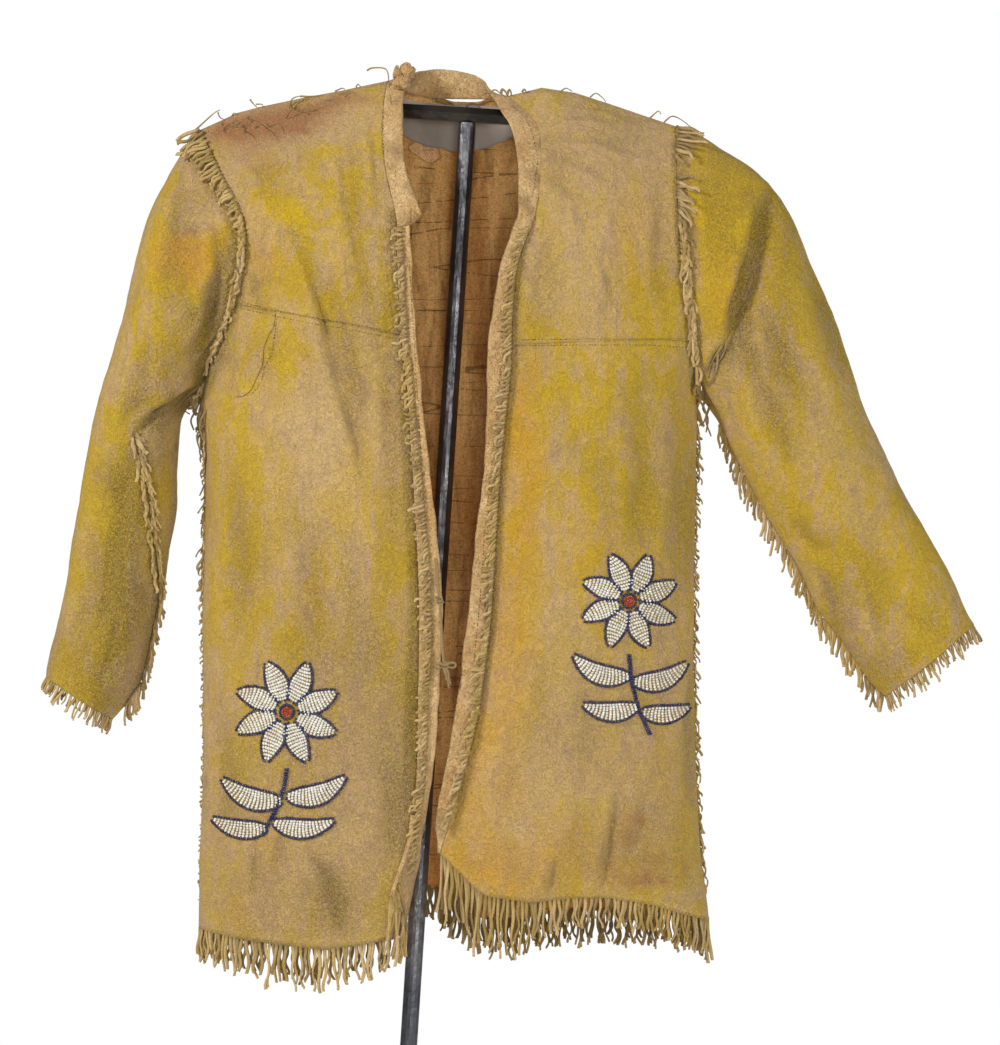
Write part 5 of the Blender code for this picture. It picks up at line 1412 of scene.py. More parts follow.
LOWER_ROWS, UPPER_ROWS = 132, 92
V_VALUES = even(0, YOKE, LOWER_ROWS) + even(YOKE, RIDGE, UPPER_ROWS)[1:]
YOKE_INDEX = LOWER_ROWS - 1
FRONT_COLUMNS = 86
BACK_HALF, NECK_HALF = 74, 26
INSIDE = {"right": (-0.05, 0, 1.0), "left": (0.2, 0, 1.0), "back": (0.09, 0, 1.0)}


def v_row(v):
    return float(np.interp(v, V_VALUES, range(len(V_VALUES))))


SEAM_DEPTH, SEAM_WIDTH = 0.9, 0.0022  # of the groove: millimetres deep, metres wide


def seam_groove(grid):
    """The yoke seam's shallow groove across a grid, with small puckers beside it."""
    down = np.cumsum(np.r_[0, np.linalg.norm(np.diff(grid[:, grid.shape[1] // 2], axis=0), axis=1)])
    away = (down - down[YOKE_INDEX])[:, None]
    pucker = lumps(grid, 0.009, 21, (1, 1, 0.25))
    return (-SEAM_DEPTH * np.exp(-(away / SEAM_WIDTH) ** 2)
            + 0.35 * pucker * np.exp(-(away / (5 * SEAM_WIDTH)) ** 2))


def hem_fade():
    """1 at the hem, falling to 0 a little above it."""
    return np.clip(1 - np.array(V_VALUES) / 1.6, 0, 1)[:, None] ** 2


def shaped(grid, inside, relief):
    """A grid moved out along its normals by a relief in millimetres, and its new normals."""
    moved = grid + grid_normals(grid, inside) * relief[..., None] * MM
    return moved, grid_normals(moved, inside)


def make_fronts():
    made = {}
    for side, creases in (("right", RIGHT_CREASES), ("left", LEFT_CREASES)):
        grid = sample(lambda u, v, side=side: front_point(side, u, v), even(0, 1, FRONT_COLUMNS), V_VALUES)
        fade = edge_fade(grid, 0.016, sides=("far", "high"))
        relief = (lumps(grid, 0.085, 31, (1, 1, 0.45)) * 2.6 + lumps(grid, 0.034, 32, (1, 1, 0.5)) * 0.95
                  + lumps(grid, 0.012, 33, (1, 1, 0.7)) * 0.32) * fade
        folds = crease_relief(grid, creases) * edge_fade(grid, 0.02, sides=("far", "high"))
        relief += 2.3 * folds
        # Painted shade, darkest in the creases and in the low places of the relief
        hollow = np.clip(crease_shade(grid, creases), 0, 0.6) + np.clip(-relief / 9, 0, 0.2)
        relief += seam_groove(grid) * fade
        relief += hem_fade() * lumps(grid, 0.05, 34, (1, 1, 0.2)) * 4.5 * edge_fade(grid, 0.03, sides=("far",))
        moved, normal = shaped(grid, INSIDE[side], relief)
        made[side] = skin(moved, normal, hollow)
    return made


def back_values():
    shoulder = even(NECK_SHARE, 1.0, BACK_HALF)
    neck = even(-NECK_SHARE, NECK_SHARE, NECK_HALF + 1)[1:-1]
    return [-s for s in reversed(shoulder)] + neck + shoulder


def make_back():
    values = back_values()
    grid = sample(back_point, values, V_VALUES)
    fade = edge_fade(grid, 0.016, sides=("far", "near", "high"))
    relief = (lumps(grid, 0.09, 41, (1, 1, 0.5)) * 2.8 + lumps(grid, 0.034, 42, (1, 1, 0.5)) * 0.9
              + lumps(grid, 0.012, 43, (1, 1, 0.7)) * 0.2) * fade
    folds = crease_relief(grid, BACK_CREASES, 90) * edge_fade(grid, 0.02, sides=("far", "near", "high"))
    relief += 1.6 * folds
    # Painted shade, darkest in the creases and in the low places of the relief
    hollow = np.clip(0.7 * crease_shade(grid, BACK_CREASES, 90), 0, 0.4) + np.clip(-relief / 7, 0, 0.25)
    relief += seam_groove(grid) * fade
    relief += hem_fade() * lumps(grid, 0.055, 44, (1, 1, 0.2)) * 4.5 * edge_fade(grid, 0.03, sides=("far", "near"))
    moved, normal = shaped(grid, INSIDE["back"], relief)
    return skin(moved, normal, hollow)


def torn_neck(cloth):
    """Drops the back's top edge where it has torn from the collar, unevenly."""
    values = back_values()
    for c, s in enumerate(values):
        if abs(s) >= NECK_SHARE:
            continue
        x = (cloth.outer[-1, c, 0] - COAT_X) / MM
        drop = table_between(NECK_TEAR, x)
        drop += max(0, drop - 0.6) * 0.25 * noise.noise((x / 3.5, 3.1, 0))
        for grid in (cloth.outer, cloth.inner):
            for step in range(6):
                grid[-1 - step, c, 2] -= drop * MM * (1 - step / 6) ** 1.5


SLEEVE_COLUMNS, SLEEVE_ROWS = 112, 150
RING_CROWDING = 1.05  # how much closer together a sleeve's rows lie at the armhole
# How far each sleeve stands off its armhole, round it and along it. The left one's seam is open under the arm.
GAP_ROUND = {"right": ((0, 0.6), (0.5, 0.8), (1, 0), (RING_POINTS, 0)),
             "left": ((0, 2.5), (0.5, 6.5), (1, 0), (RING_POINTS, 0))}
GAP_ALONG = ((0, 1), (1.2, 1.3), (1.8, 1.2), (2.2, 0.9), (2.6, 0.6), (3, 0.3), (3.5, 0), (20, 0))


def outward_normals(tube_grid, middle):
    """Normals of a sleeve's grid, away from a point on its middle line half way down it."""
    half = SLEEVE_ROWS // 2
    normal = grid_normals(tube_grid, middle, ring=True)
    return -normal if np.dot(normal[half, 0], tube_grid[half, 0] - middle) < 0 else normal


def make_sleeves():
    made = {}
    for side, creases, rings in (("right", RIGHT_SLEEVE_CREASES, RIGHT_RINGS),
                                 ("left", LEFT_SLEEVE_CREASES, LEFT_RINGS)):
        j_values = [RING_POINTS * i / SLEEVE_COLUMNS for i in range(SLEEVE_COLUMNS)]
        t_values = [(len(rings) - 1) * (i / (SLEEVE_ROWS - 1)) ** RING_CROWDING for i in range(SLEEVE_ROWS)]
        grid = sample(lambda j, t, side=side: sleeve_point(side, t, j), j_values, t_values)
        middle = grid[SLEEVE_ROWS // 2].mean(axis=0)
        sign = -1 if side == "right" else 1
        normal = outward_normals(grid, middle)
        start = edge_fade(grid, 0.02, sides=("low",))
        front = np.clip(-normal[..., 1] * 3, 0, 1)
        relief = (lumps(grid, 0.07, 51, (1, 1, 0.5)) * 2.8 + lumps(grid, 0.034, 52, (1, 1, 0.6)) * 1.1
                  + lumps(grid, 0.012, 53) * 0.3) * start
        folds = crease_relief(grid, creases, -50) * front * start
        relief += 1.8 * folds
        # Painted shade, darkest in the creases and in the low places of the relief
        hollow = np.clip(crease_shade(grid, creases, -50) * front, 0, 0.8) + np.clip(-relief / 7, 0, 0.3)
        relief += crease_relief(grid, creases, 50) * (1 - front) * start * 0.6
        cuff = np.clip((np.array(t_values) - (len(rings) - 2.6)) / 1.6, 0, 1)[:, None] ** 2
        relief += cuff * lumps(grid, 0.04, 54) * 2.4
        grid = grid + normal * relief[..., None] * MM
        normal = outward_normals(grid, middle)
        for k, j in enumerate(j_values):
            round_off = table_between(GAP_ROUND[side], min(j, RING_POINTS - j))
            for i, t in enumerate(t_values):
                grid[i, k, 0] += sign * round_off * table_between(GAP_ALONG, t) * MM
        made[side] = skin(grid, normal, hollow, ring=True)
    return made


def strip_skin(seam, free, seam_normals, columns, bow, seed, wrinkle=1.0):
    """A band's skin from its seam line to its free edge, thick along the seam's normals at the seam."""
    seam, free, seam_normals = (np.array(rows) for rows in (seam, free, seam_normals))
    along = np.gradient(seam + free, axis=0)
    own = np.cross(along, free - seam)
    own /= np.linalg.norm(own, axis=1, keepdims=True)
    own[(own * seam_normals).sum(axis=1) < 0] *= -1
    outer = np.zeros((len(seam), columns + 1, 3))
    normal = np.zeros_like(outer)
    for c in range(columns + 1):
        t = c / columns
        outer[:, c] = seam * (1 - t) + free * t + own * bow * math.sin(math.pi * t)
        normal[:, c] = seam_normals * (1 - t) + own * t
    normal /= np.linalg.norm(normal, axis=2, keepdims=True)
    held = np.sin(np.linspace(0, 1, columns + 1) * math.pi / 2)[None, :]
    relief = (lumps(outer, 0.012, seed, (1, 1, 0.55)) * 0.9 + lumps(outer, 0.03, seed + 1) * 1.1
              + lumps(outer, 0.005, seed + 2) * 0.25) * held * wrinkle
    outer = outer + normal * relief[..., None] * MM
    edge = np.linspace(0, 1, columns + 1)[None, :] ** 2 * lumps(outer, 0.02, seed + 3) * 0.9
    way = (free - seam) / np.linalg.norm(free - seam, axis=1, keepdims=True)
    outer = outer + way[:, None, :] * edge[..., None] * MM
    return skin(outer, normal, None)


# ---- Strands laid one by one where the photograph shows them ---------------------------------------------------

Run = namedtuple("Run", "line pitch way length")  # pixels; way: (share, right, down); length: (share, mm)
RUNS = {
    "armhole_right": (
        Run(((200, 130), (209, 150), (221, 175)), 3.5, ((0, -1, 0.5), (0.5, -0.95, 0.75), (1, -0.6, 0.75)),
            ((0, 35), (0.6, 32), (1, 19))),
        Run(((203, 131), (214, 155)), 7, ((0, -0.8, 0.7), (1, -0.75, 0.9)), ((0, 30), (1, 26))),
        Run(((221, 176), (232, 195), (240, 213)), 3.6, ((0, -0.7, 0.6), (1, -0.35, 0.6)), ((0, 19), (1, 16))),
        Run(((241, 212), (245, 233), (243, 263), (238, 284), (234, 304)), 4.4, ((0, -0.6, 1), (1, -0.3, 1)),
            ((0, 15), (1, 17))),
        Run(((236, 208), (239, 233), (237, 263), (232, 284), (226, 306)), 5.0, ((0, 0.5, 1), (1, 0.1, 1)),
            ((0, 13), (1, 15))),
        Run(((234, 304), (225, 324), (217, 345), (208, 368), (201, 386)), 4.6, ((0, -0.5, 1), (1, -0.25, 1)),
            ((0, 15), (1, 18))),
        Run(((229, 306), (220, 326), (211, 347)), 5.5, ((0, 0.1, 1), (1, 0.3, 1)), ((0, 13), (1, 14))),
        Run(((202, 384), (197, 398), (198, 410)), 3.0, ((0, -0.8, 0.8), (1, -0.3, 1)), ((0, 15), (1, 22)))),
    "armhole_left": (
        Run(((677, 128), (677, 140), (677, 160)), 3.3, ((0, 1, 0.05), (0.4, 1, 0.4), (1, 0.55, 0.9)),
            ((0, 40), (0.5, 37), (1, 25))),
        Run(((678, 178), (678, 212)), 3.1, ((0, 1.4, 0.35), (0.5, 1.2, 0.7), (1, 0.8, 0.9)), ((0, 30), (1, 24))),
        Run(((679, 214), (680, 251), (685, 291), (692, 331), (696, 371), (698, 392)), 4.2,
            ((0, 0.45, 1), (1, 0.1, 1)), ((0, 25), (1, 27))),
        Run(((684, 216), (686, 251), (691, 291), (697, 331)), 6.0, ((0, -0.1, 1), (1, -0.2, 1)),
            ((0, 17), (1, 20))),
        Run(((698, 395), (700, 405), (704, 415), (708, 425)), 2.2, ((0, 0.5, 1), (0.5, -0.7, 0.8), (1, 0.3, 1)),
            ((0, 14), (1, 17)))),
    "sleeve_right": (
        Run(((134, 430), (140, 457), (149, 490), (151, 517), (155, 545), (159, 572), (159, 599), (153, 627),
             (148, 654), (140, 682), (123, 706)), 3.2, ((0, 0.8, 0.7), (0.25, 0.5, 1), (0.6, 0.5, 1), (1, 0.65, 1)),
            ((0, 18), (0.5, 24), (1, 27))),
        Run(((131, 434), (136, 457), (144, 490), (147, 517), (151, 545), (154, 580)), 6.0,
            ((0, 0.3, 1), (1, 0.15, 1)), ((0, 18), (1, 18)))),
    "side_right": (
        Run(((200, 404), (206, 440), (205, 490), (205, 540)), 4.2, ((0, -0.5, 1), (1, -0.35, 1)),
            ((0, 20), (1, 15))),
        Run(((205, 545), (203, 600)), 9.0, ((0, -0.4, 1), (1, -0.3, 1)), ((0, 12), (1, 9)))),
    "hem_right": (
        Run(((391, 896), (396, 905), (402, 912), (405, 925)), 2.4, ((0, -0.05, 1), (1, 0.05, 1)),
            ((0, 66), (1, 44))),),
}


def laid_strands(hide, runs, lift=2.6):
    """Roots on the hide where the camera sees each pixel, their directions held to the hide's slope."""
    roots = {"place": [], "out": [], "across": [], "length": [], "droop": [], "shade": []}
    for run in runs:
        line = [(px, 0, py) for px, py in run.line]
        at, share = spaced(line, run.pitch, 0.3)
        for (px, _, py), s in zip(along_line(line, at), share):
            place, normal = seen_at(hide, px, py)
            if place is None:
                continue
            right, down = (float(np.interp(s, *zip(*[(w[0], w[k]) for w in run.way]))) for k in (1, 2))
            way = Vector((right + RANDOM.normal(0, 0.16), 0, -down + RANDOM.normal(0, 0.12)))
            out = (way - normal * way.dot(normal) * 0.8 + normal * 0.06).normalized()
            roots["place"].append(place + normal * lift * MM)
            roots["out"].append(out)
            roots["across"].append(normal.cross(out).normalized())
            roots["length"].append(float(np.interp(s, *zip(*run.length))) * RANDOM.uniform(0.8, 1.12) * MM)
            roots["droop"].append(0.2)
            roots["shade"].append(0.0)
    return roots


def together(*sets):
    return {key: [row for rows in sets for row in rows[key]] for key in sets[0]}


# ---- Beadwork --------------------------------------------------------------------------------------------------

WHITE, NAVY, RED = (0.82, 0.80, 0.72), (0.012, 0.014, 0.075), (0.42, 0.02, 0.015)
BEAD_STEP, ROW_STEP = 2.5, 3.3  # pixels between beads of a row, and between rows
Leaf = namedtuple("Leaf", "start end bow width")  # a filled lane from start to end, bowed sideways
Spray = namedtuple("Spray", "middle inner outer petals stem leaves")
SPRAYS = {
    "right": Spray((287, 712), 11, 54, 8, ((287, 768), (284, 788), (275, 812), (262, 836)),
                   (Leaf((286, 796), (346, 776), 9, 19), (Leaf((283, 801), (222, 778), -9, 19)),
                    Leaf((273, 822), (335, 820), 8, 17), Leaf((268, 828), (212, 818), -6, 16))),
    "left": Spray((629, 601), 10, 50, 8, ((629, 654), (631, 680), (638, 708), (650, 735)),
                  (Leaf((630, 676), (573, 655), -9, 18), Leaf((632, 681), (687, 662), 9, 18),
                   Leaf((638, 706), (582, 704), -7, 17), Leaf((641, 711), (690, 706), 6, 16))),
}


def lane(leaf):
    """Beads of a leaf: rows across its bowed middle line, and an outline."""
    (x0, y0), (x1, y1) = leaf.start, leaf.end
    length = math.dist(leaf.start, leaf.end)
    ux, uy = (x1 - x0) / length, (y1 - y0) / length
    beads = []

    def at(t, off):
        bow = leaf.bow * math.sin(math.pi * t)
        slope = leaf.bow * math.pi * math.cos(math.pi * t) / length
        size = math.hypot(1, slope)
        sx, sy = -uy - ux * slope, ux - uy * slope  # across the bowed line
        return x0 + ux * length * t - uy * bow + sx / size * off, y0 + uy * length * t + ux * bow + sy / size * off

    def half(t):
        return leaf.width / 2 * math.sin(math.pi * t ** 0.8) ** 0.75

    rows = int(length / ROW_STEP)
    for r in range(1, rows):
        t = r / rows
        w = half(t)
        count = max(1, round(2 * w / BEAD_STEP))
        for c in range(count):
            off = (c + 0.5) / count * 2 - 1
            x, y = at(min(1, max(0, t - 0.012 * (1 - off * off))), off * w)
            ax, ay = at(t, off * w + 1)
            beads.append((x, y, ax - x, ay - y, WHITE))
    for side in (-1, 1):
        edge = [at(k / 60, side * (half(k / 60) + 1.5)) for k in range(61)]
        beads += strung(edge, NAVY)
    return beads


def strung(line, colour):
    """Beads one after another along a line of pixels."""
    run = np.r_[0, np.cumsum([math.dist(a, b) for a, b in zip(line, line[1:])])]
    count = max(2, int(run[-1] / BEAD_STEP))
    xs, ys = zip(*line)
    beads = []
    for k in range(count):
        d = (k + 0.5) / count * run[-1]
        x, y = np.interp(d, run, xs), np.interp(d, run, ys)
        ax, ay = np.interp(d + 0.8, run, xs), np.interp(d + 0.8, run, ys)
        if (ax, ay) == (x, y):
            ax = x + 1
        beads.append((x, y, ax - x, ay - y, colour))
    return beads


def circle(middle, radius):
    return [(middle[0] + radius * math.cos(a / 20 * math.pi), middle[1] + radius * math.sin(a / 20 * math.pi))
            for a in range(41)]


def make_beadwork(name, spray, hide, tree, finish):
    """A flower spray of white petals and leaves with navy outlines and a red middle."""
    beads = []
    x, y = spray.middle
    for k in range(spray.petals):
        a = 2 * math.pi * (k + 0.5) / spray.petals
        start = (x + spray.inner * math.cos(a), y + spray.inner * math.sin(a))
        end = (x + spray.outer * math.cos(a), y + spray.outer * math.sin(a))
        beads += lane(Leaf(start, end, 2.0, 0.42 * spray.outer - 3))
    for radius in (1.4, 4.2):
        beads += strung(circle(spray.middle, radius), RED)
    beads += strung(circle(spray.middle, 7.2), NAVY)
    for step in (-1, 1):
        beads += strung([(px + step, py) for px, py in spray.stem], NAVY)
    for leaf in spray.leaves:
        beads += lane(leaf)
    roots = {"place": [], "hole": [], "tint": []}
    for px, py, ax, ay, colour in beads:
        px, py = px + RANDOM.normal(0, 0.1), py + RANDOM.normal(0, 0.1)
        place, normal = seen_at(hide, px, py)
        if place is None:
            continue
        along = Vector((ax, 0, -ay))
        shade = RANDOM.uniform(0.84, 1.05)
        roots["place"].append(place + normal * 0.8 * MM)
        roots["hole"].append((along - normal * along.dot(normal)).normalized())
        roots["tint"].append([value * shade for value in colour])
    return turn_points(name, roots, tree, {"Across": 3.3 * MM, "Along": 2.75 * MM, "Sides": 8, "Rows": 5,
                                           "Seed": 5}, finish)


# ---- Stitches --------------------------------------------------------------------------------------------------

STITCHES = {
    "front_right_upper": (((240, 302), (270, 309), (294, 314), (321, 319), (357, 325), (394, 332)),),
    "front_right_lower": (((240, 308), (270, 315), (294, 320), (321, 325), (357, 331), (394, 338)),),
    "front_left_upper": (((515, 340), (581, 339), (648, 339), (693, 342)),),
    "front_left_lower": (((515, 346), (581, 345), (648, 345), (694, 348)),),
    "pocket": (((277, 318), (274, 340), (272, 354), (264, 368), (262, 380), (257, 389), (249, 396), (238, 392)),),
    "front_band_right": (((409, 260), (414, 340), (419, 420), (424, 500), (428, 560), (428, 640), (426, 700)),),
    "front_band_left": (((503, 330), (498, 400), (490, 480), (484, 540), (480, 600), (472, 680)),),
    "collar": (((384, 108), (383, 130), (384, 160), (388, 185), (394, 205)),
               ((512, 105), (526, 118), (533, 135), (538, 160), (534, 188), (529, 206)),
               ((428, 98), (450, 101), (470, 103))),
}


STITCH = {"Across": 0.75 * MM, "Along": 2.1 * MM, "Uneven": 0.3, "Sides": 6, "Rows": 4}


def make_stitches(name, lines, hide, tree, finish):
    """Short sinew stitches that lie in the hide along lines of pixels."""
    roots = {"place": [], "hole": [], "tint": []}
    for line in lines:
        at, _ = spaced([(px, 0, py) for px, py in line], 3.1, 0.22)
        points = along_line([(px, 0, py) for px, py in line], at)
        for a, b in zip(points, points[1:]):
            place, normal = seen_at(hide, a[0], a[2])
            if place is None:
                continue
            along = Vector((b[0] - a[0], 0, a[2] - b[2])) + Vector((0, 0, 0.5 * RANDOM.normal()))
            roots["place"].append(place + normal * 0.1 * MM)
            roots["hole"].append((along - normal * along.dot(normal)).normalized())
            roots["tint"].append((0, 0, 0))
    return turn_points(name, roots, tree, {**STITCH, "Seed": 8}, finish)


def back_stitches(name, cloth, rows, tree, finish):
    """The same stitches along rows of the back, where no picture shows them."""
    roots = {"place": [], "hole": [], "tint": []}
    for row in rows:
        at, _ = spaced(cloth.outer[row], 3.3 * MM, 0.2)
        places, normals = along_line(cloth.outer[row], at), along_line(cloth.normal[row], at)
        ways = unit(np.gradient(places, axis=0))
        roots["place"] += list(places + normals * 0.1 * MM)
        roots["hole"] += list(ways)
        roots["tint"] += [(0, 0, 0)] * len(places)
    return turn_points(name, roots, tree, {**STITCH, "Seed": 9}, finish)


# ---- Loose ends ------------------------------------------------------------------------------------------------

# Each is a line in pixels, its radius in millimetres and how many millimetres in front of the hide it lies
SHOULDER_ENDS = (
    (((194, 131), (205, 121), (214, 113), (220, 109.5)), 1.0, 1), (((218, 112), (220, 117), (225, 120)), 0.9, 1),
    (((250, 99), (253, 103), (257, 107)), 1.0, 1), (((256, 104), (262, 104), (263, 107)), 0.8, 1),
    (((289, 107), (292, 99), (299, 96), (306, 97)), 0.9, 1), (((290, 101), (291, 108), (294, 110)), 0.8, 1.5),
    (((294, 108), (299, 102), (306, 97)), 0.9, 1.5), (((302, 99), (309, 104), (315, 110)), 0.8, 1.5),
    (((300, 96), (312, 96), (322, 95)), 1.0, 1), (((335, 91), (342, 88), (345, 89)), 0.9, 1),
    (((356, 87), (358, 84), (361, 87)), 0.8, 1), (((345, 96), (350, 93), (356, 93)), 0.7, 1),
    (((271, 125), (280, 122), (292, 117), (303, 111)), 0.7, 0.2), (((232, 116), (234, 113), (238, 114)), 0.9, 1),
    (((262, 122), (269, 128), (276, 133), (278, 139)), 0.6, 0.2), (((560, 92), (566, 88), (572, 91)), 0.9, 1),
    (((590, 97), (596, 93), (603, 98), (606, 102)), 0.8, 1), (((650, 118), (658, 111), (661, 114)), 0.9, 1),
    (((664, 122), (672, 116), (682, 120), (692, 128)), 0.9, 1.5),
)
ARMPIT_ENDS = (
    (((696, 396), (702, 404), (706, 414), (703, 424)), 1.5, 1), (((699, 400), (697, 412), (702, 426)), 1.6, 1),
    (((706, 398), (703, 408), (708, 418), (706, 432)), 1.5, 1), (((700, 408), (708, 410), (711, 420)), 1.4, 2),
    (((698, 418), (704, 426), (702, 440)), 1.5, 1), (((710, 405), (706, 420), (711, 436)), 1.5, 2),
    (((701, 428), (699, 440), (703, 450)), 1.4, 1), (((707, 428), (709, 444), (706, 456)), 1.4, 1),
    (((712, 428), (714, 445), (711, 462)), 1.4, 1), (((697, 430), (700, 448), (698, 462)), 1.3, 1),
    (((200, 386), (190, 394), (182, 401), (176, 408)), 1.4, 1),
    (((198, 394), (188, 399), (184, 409), (190, 414)), 1.4, 1),
    (((200, 398), (196, 410), (191, 420), (194, 430)), 1.6, 1), (((203, 400), (201, 416), (196, 432)), 1.6, 1),
    (((190, 396), (193, 408), (200, 418), (198, 430)), 1.4, 1.5), (((206, 410), (200, 424), (203, 440)), 1.5, 1.5),
    (((204, 425), (197, 436), (200, 450)), 1.5, 1.5), (((730, 336), (724, 348), (716, 360)), 1.5, 1.5),
    (((727, 340), (722, 356), (712, 368)), 1.5, 2.5), (((722, 346), (712, 362), (708, 378)), 1.5, 1.5),
    (((718, 352), (716, 370), (708, 386)), 1.5, 2), (((714, 362), (712, 380), (704, 396)), 1.5, 2),
)
NECK_ENDS = (
    (((367, 70.5), (372, 67.8), (384, 68), (388, 73), (389, 84), (391, 104)), 0.95, 2),
    (((411, 208), (411.5, 222), (411, 239)), 0.8, 1), (((489, 93), (495, 89.5), (500, 93), (505, 96)), 1.0, 1),
    (((501, 94), (502, 89), (506, 92), (508, 96)), 1.6, 1), (((507, 95), (509, 89.5), (511, 92), (511, 96)), 1.5, 1),
    (((522, 92), (524, 89), (526, 91), (527, 93)), 1.2, 1), (((436, 100), (444, 103), (453, 105)), 2.0, 0.5),
    (((466, 106), (473, 103), (480, 107)), 1.5, 0.5),
)
# Near-black thongs sunk into the hide at the shoulder, standing for the shade inside its cracks; the same columns as
# above
SHOULDER_CRACKS = (
    (((266, 129), (276, 124), (288, 119), (297, 115), (305, 109)), 0.75, -0.25),
    (((261, 124), (268, 129), (274, 134), (279, 140)), 0.65, -0.25),
    (((236, 122), (246, 119), (256, 121), (262, 124)), 0.55, -0.25),
    (((286, 119), (292, 110), (303, 104)), 0.6, -0.25), (((300, 113), (314, 111), (324, 106)), 0.6, -0.25),
    (((246, 131), (254, 137), (258, 146)), 0.5, -0.25), (((222, 131), (232, 127), (240, 128)), 0.5, -0.25),
    (((318, 97), (328, 101), (340, 97)), 0.5, -0.25), (((282, 126), (284, 133), (281, 141)), 0.45, -0.25),
)
CORNER_FOLD = (
    (((413, 815), (410, 838), (404, 858), (397, 878), (391, 896)), 3.0, 1.5),
    (((408, 846), (402, 866), (396, 884), (393, 897)), 2.2, 2.5),
)
CORNER_FLAP = (
    (((398, 884), (402, 900), (405, 915), (407, 931)), 3.0, 1.0), (((393, 893), (397, 908), (400, 921)), 2.4, 1.5),
)
KNOB = (("knob", (407, 71), (9.0, 8.0, 8.5)), ("knob_beside", (397, 73), (4.5, 5.0, 7.5)),
        ("knob_below", (402, 82), (9.0, 7.0, 8.0)))


def loose_ends(name, ends, hide, finish):
    """Frayed bits of thong: each follows its line in the picture, a little in front of the hide beside it."""
    pieces = []
    for line, radius, lift in ends:
        y = None
        for px, py in line[::-1] + tuple((px, py + 7) for px, py in line):
            place, _ = seen_at(hide, px, py)
            if place is not None and place.y < 0.08:
                y = place.y
                break
        if y is None:
            continue
        points = []
        for px, py in line:
            place, _ = seen_at(hide, px, py)
            if place is None or place.y > y + 0.03:
                x, z = photo_mm(px, py, y / MM)
                place = garment(x, z, y / MM)
            points.append(place + Vector((0, -lift * MM, 0)))
        pieces.append(small_thong("bit", points, radius * MM, finish, 14, 0.75, 2.5))
    return joined(name, pieces)


def crumpled(name, px, py, size, hide, finish):
    """A crumpled lump of hide at a pixel, a little behind the hide just below it."""
    place, _ = seen_at(hide, px, py + 14)
    shape = bmesh.new()
    bmesh.ops.create_icosphere(shape, subdivisions=4, radius=1.0)
    x, z = photo_mm(px, py, place.y / MM)
    middle = garment(x, z, place.y / MM + 2.0)
    for vertex in shape.verts:
        p = vertex.co.copy()
        rough = 1 + 0.28 * noise.noise(p * 1.6 + middle * 40) + 0.16 * noise.noise(p * 4.5)
        rough -= 0.2 * abs(noise.noise(p * 3))
        vertex.co = middle + Vector((p.x * size[0], p.y * size[1], p.z * size[2])) * rough * MM
    return from_shape(name, shape, finish)


# ---- Sewn pieces -----------------------------------------------------------------------------------------------

BAND_COLUMNS, COLLAR_COLUMNS, COLLAR_LAP = 12, 14, 6


def make_bands(fronts):
    """The two bands, each from its front's edge to its own free edge."""
    made = {}
    rows = int(v_row(COLLAR_ROW)) + 1
    for side, opening in (("right", RIGHT_OPENING), ("left", LEFT_OPENING)):
        cloth = fronts[side]
        values = V_VALUES[:rows]
        free = [garment(*(spline(column, v) for column in zip(*opening)))[:] for v in values]
        if side == "left":  # its lower end is worn narrow
            narrow = np.clip(0.25 + np.array(values) / 0.8, 0, 1)[:, None]
            free = cloth.outer[:rows, 0] * (1 - narrow) + np.array(free) * narrow
        made[side] = strip_skin(cloth.outer[:rows, 0], free, cloth.normal[:rows, 0], BAND_COLUMNS, 1.5 * MM,
                                61 if side == "right" else 71)
    return made


def collar_seam(fronts, back):
    """The collar's seam line and normals: up the right front, round the back of the neck, down the left."""
    low, high = math.ceil(v_row(COLLAR_ROW)) - COLLAR_LAP, len(V_VALUES)
    values = back_values()
    neck = [c for c, s in enumerate(values) if abs(s) < NECK_SHARE - 1e-6]
    line = [(fronts["right"].outer[r, 0], fronts["right"].normal[r, 0], ("up", V_VALUES[r]))
            for r in range(low, high)]
    line += [(back.outer[-1, c], back.normal[-1, c], ("round", values[c])) for c in neck]
    line += [(fronts["left"].outer[r, 0], fronts["left"].normal[r, 0], ("down", V_VALUES[r]))
             for r in reversed(range(low, high))]
    return line


def collar_edge(kind, value):
    """A point of the collar's free edge beside a point of its seam."""
    rows = (12, 13, 14, 14.65, 15)  # of the body, for the edge's first and last points
    if kind == "up":
        at = float(np.interp(value, rows, range(5)))
    elif kind == "round":
        at = 4 + 6 * (value + NECK_SHARE) / (2 * NECK_SHARE)
    else:
        at = 14 - float(np.interp(value, rows, range(5)))
    lap = max(0.0, COLLAR_ROW - value) / (COLLAR_ROW - V_VALUES[math.ceil(v_row(COLLAR_ROW)) - COLLAR_LAP])
    x, z, y = (spline(column, at) for column in zip(*COLLAR_EDGE))
    if kind == "up":
        x += 3.0 * math.sin(math.pi * min(1, lap * 1.2)) - 5.0 * lap ** 3
    elif kind == "down":
        x -= 3.0 * lap ** 2
    else:
        lap = 0
    return garment(x, z - 17.0 * lap, y - 1.0 * lap)[:]


def make_collar(fronts, back):
    line = collar_seam(fronts, back)
    made = strip_skin([p for p, _, _ in line], [collar_edge(*w) for _, _, w in line], [n for _, n, _ in line],
                      COLLAR_COLUMNS, 1.0 * MM, 81, 0.8)
    crumple = lumps(made.outer, 0.006, 84) * 0.8 + lumps(made.outer, 0.011, 85) * 1.5
    for grid in (made.outer, made.inner):
        for r in range(len(line)):
            near_end = min(r, len(line) - 1 - r)
            lift = 2.7 * max(0, 1 - (near_end / (2.4 * COLLAR_LAP)) ** 2) + (0.8 if near_end < 3 else 0)
            grid[r] += made.normal[r] * (lift + crumple[r][:, None] * max(0, 1 - near_end / 14)) * MM
    return made


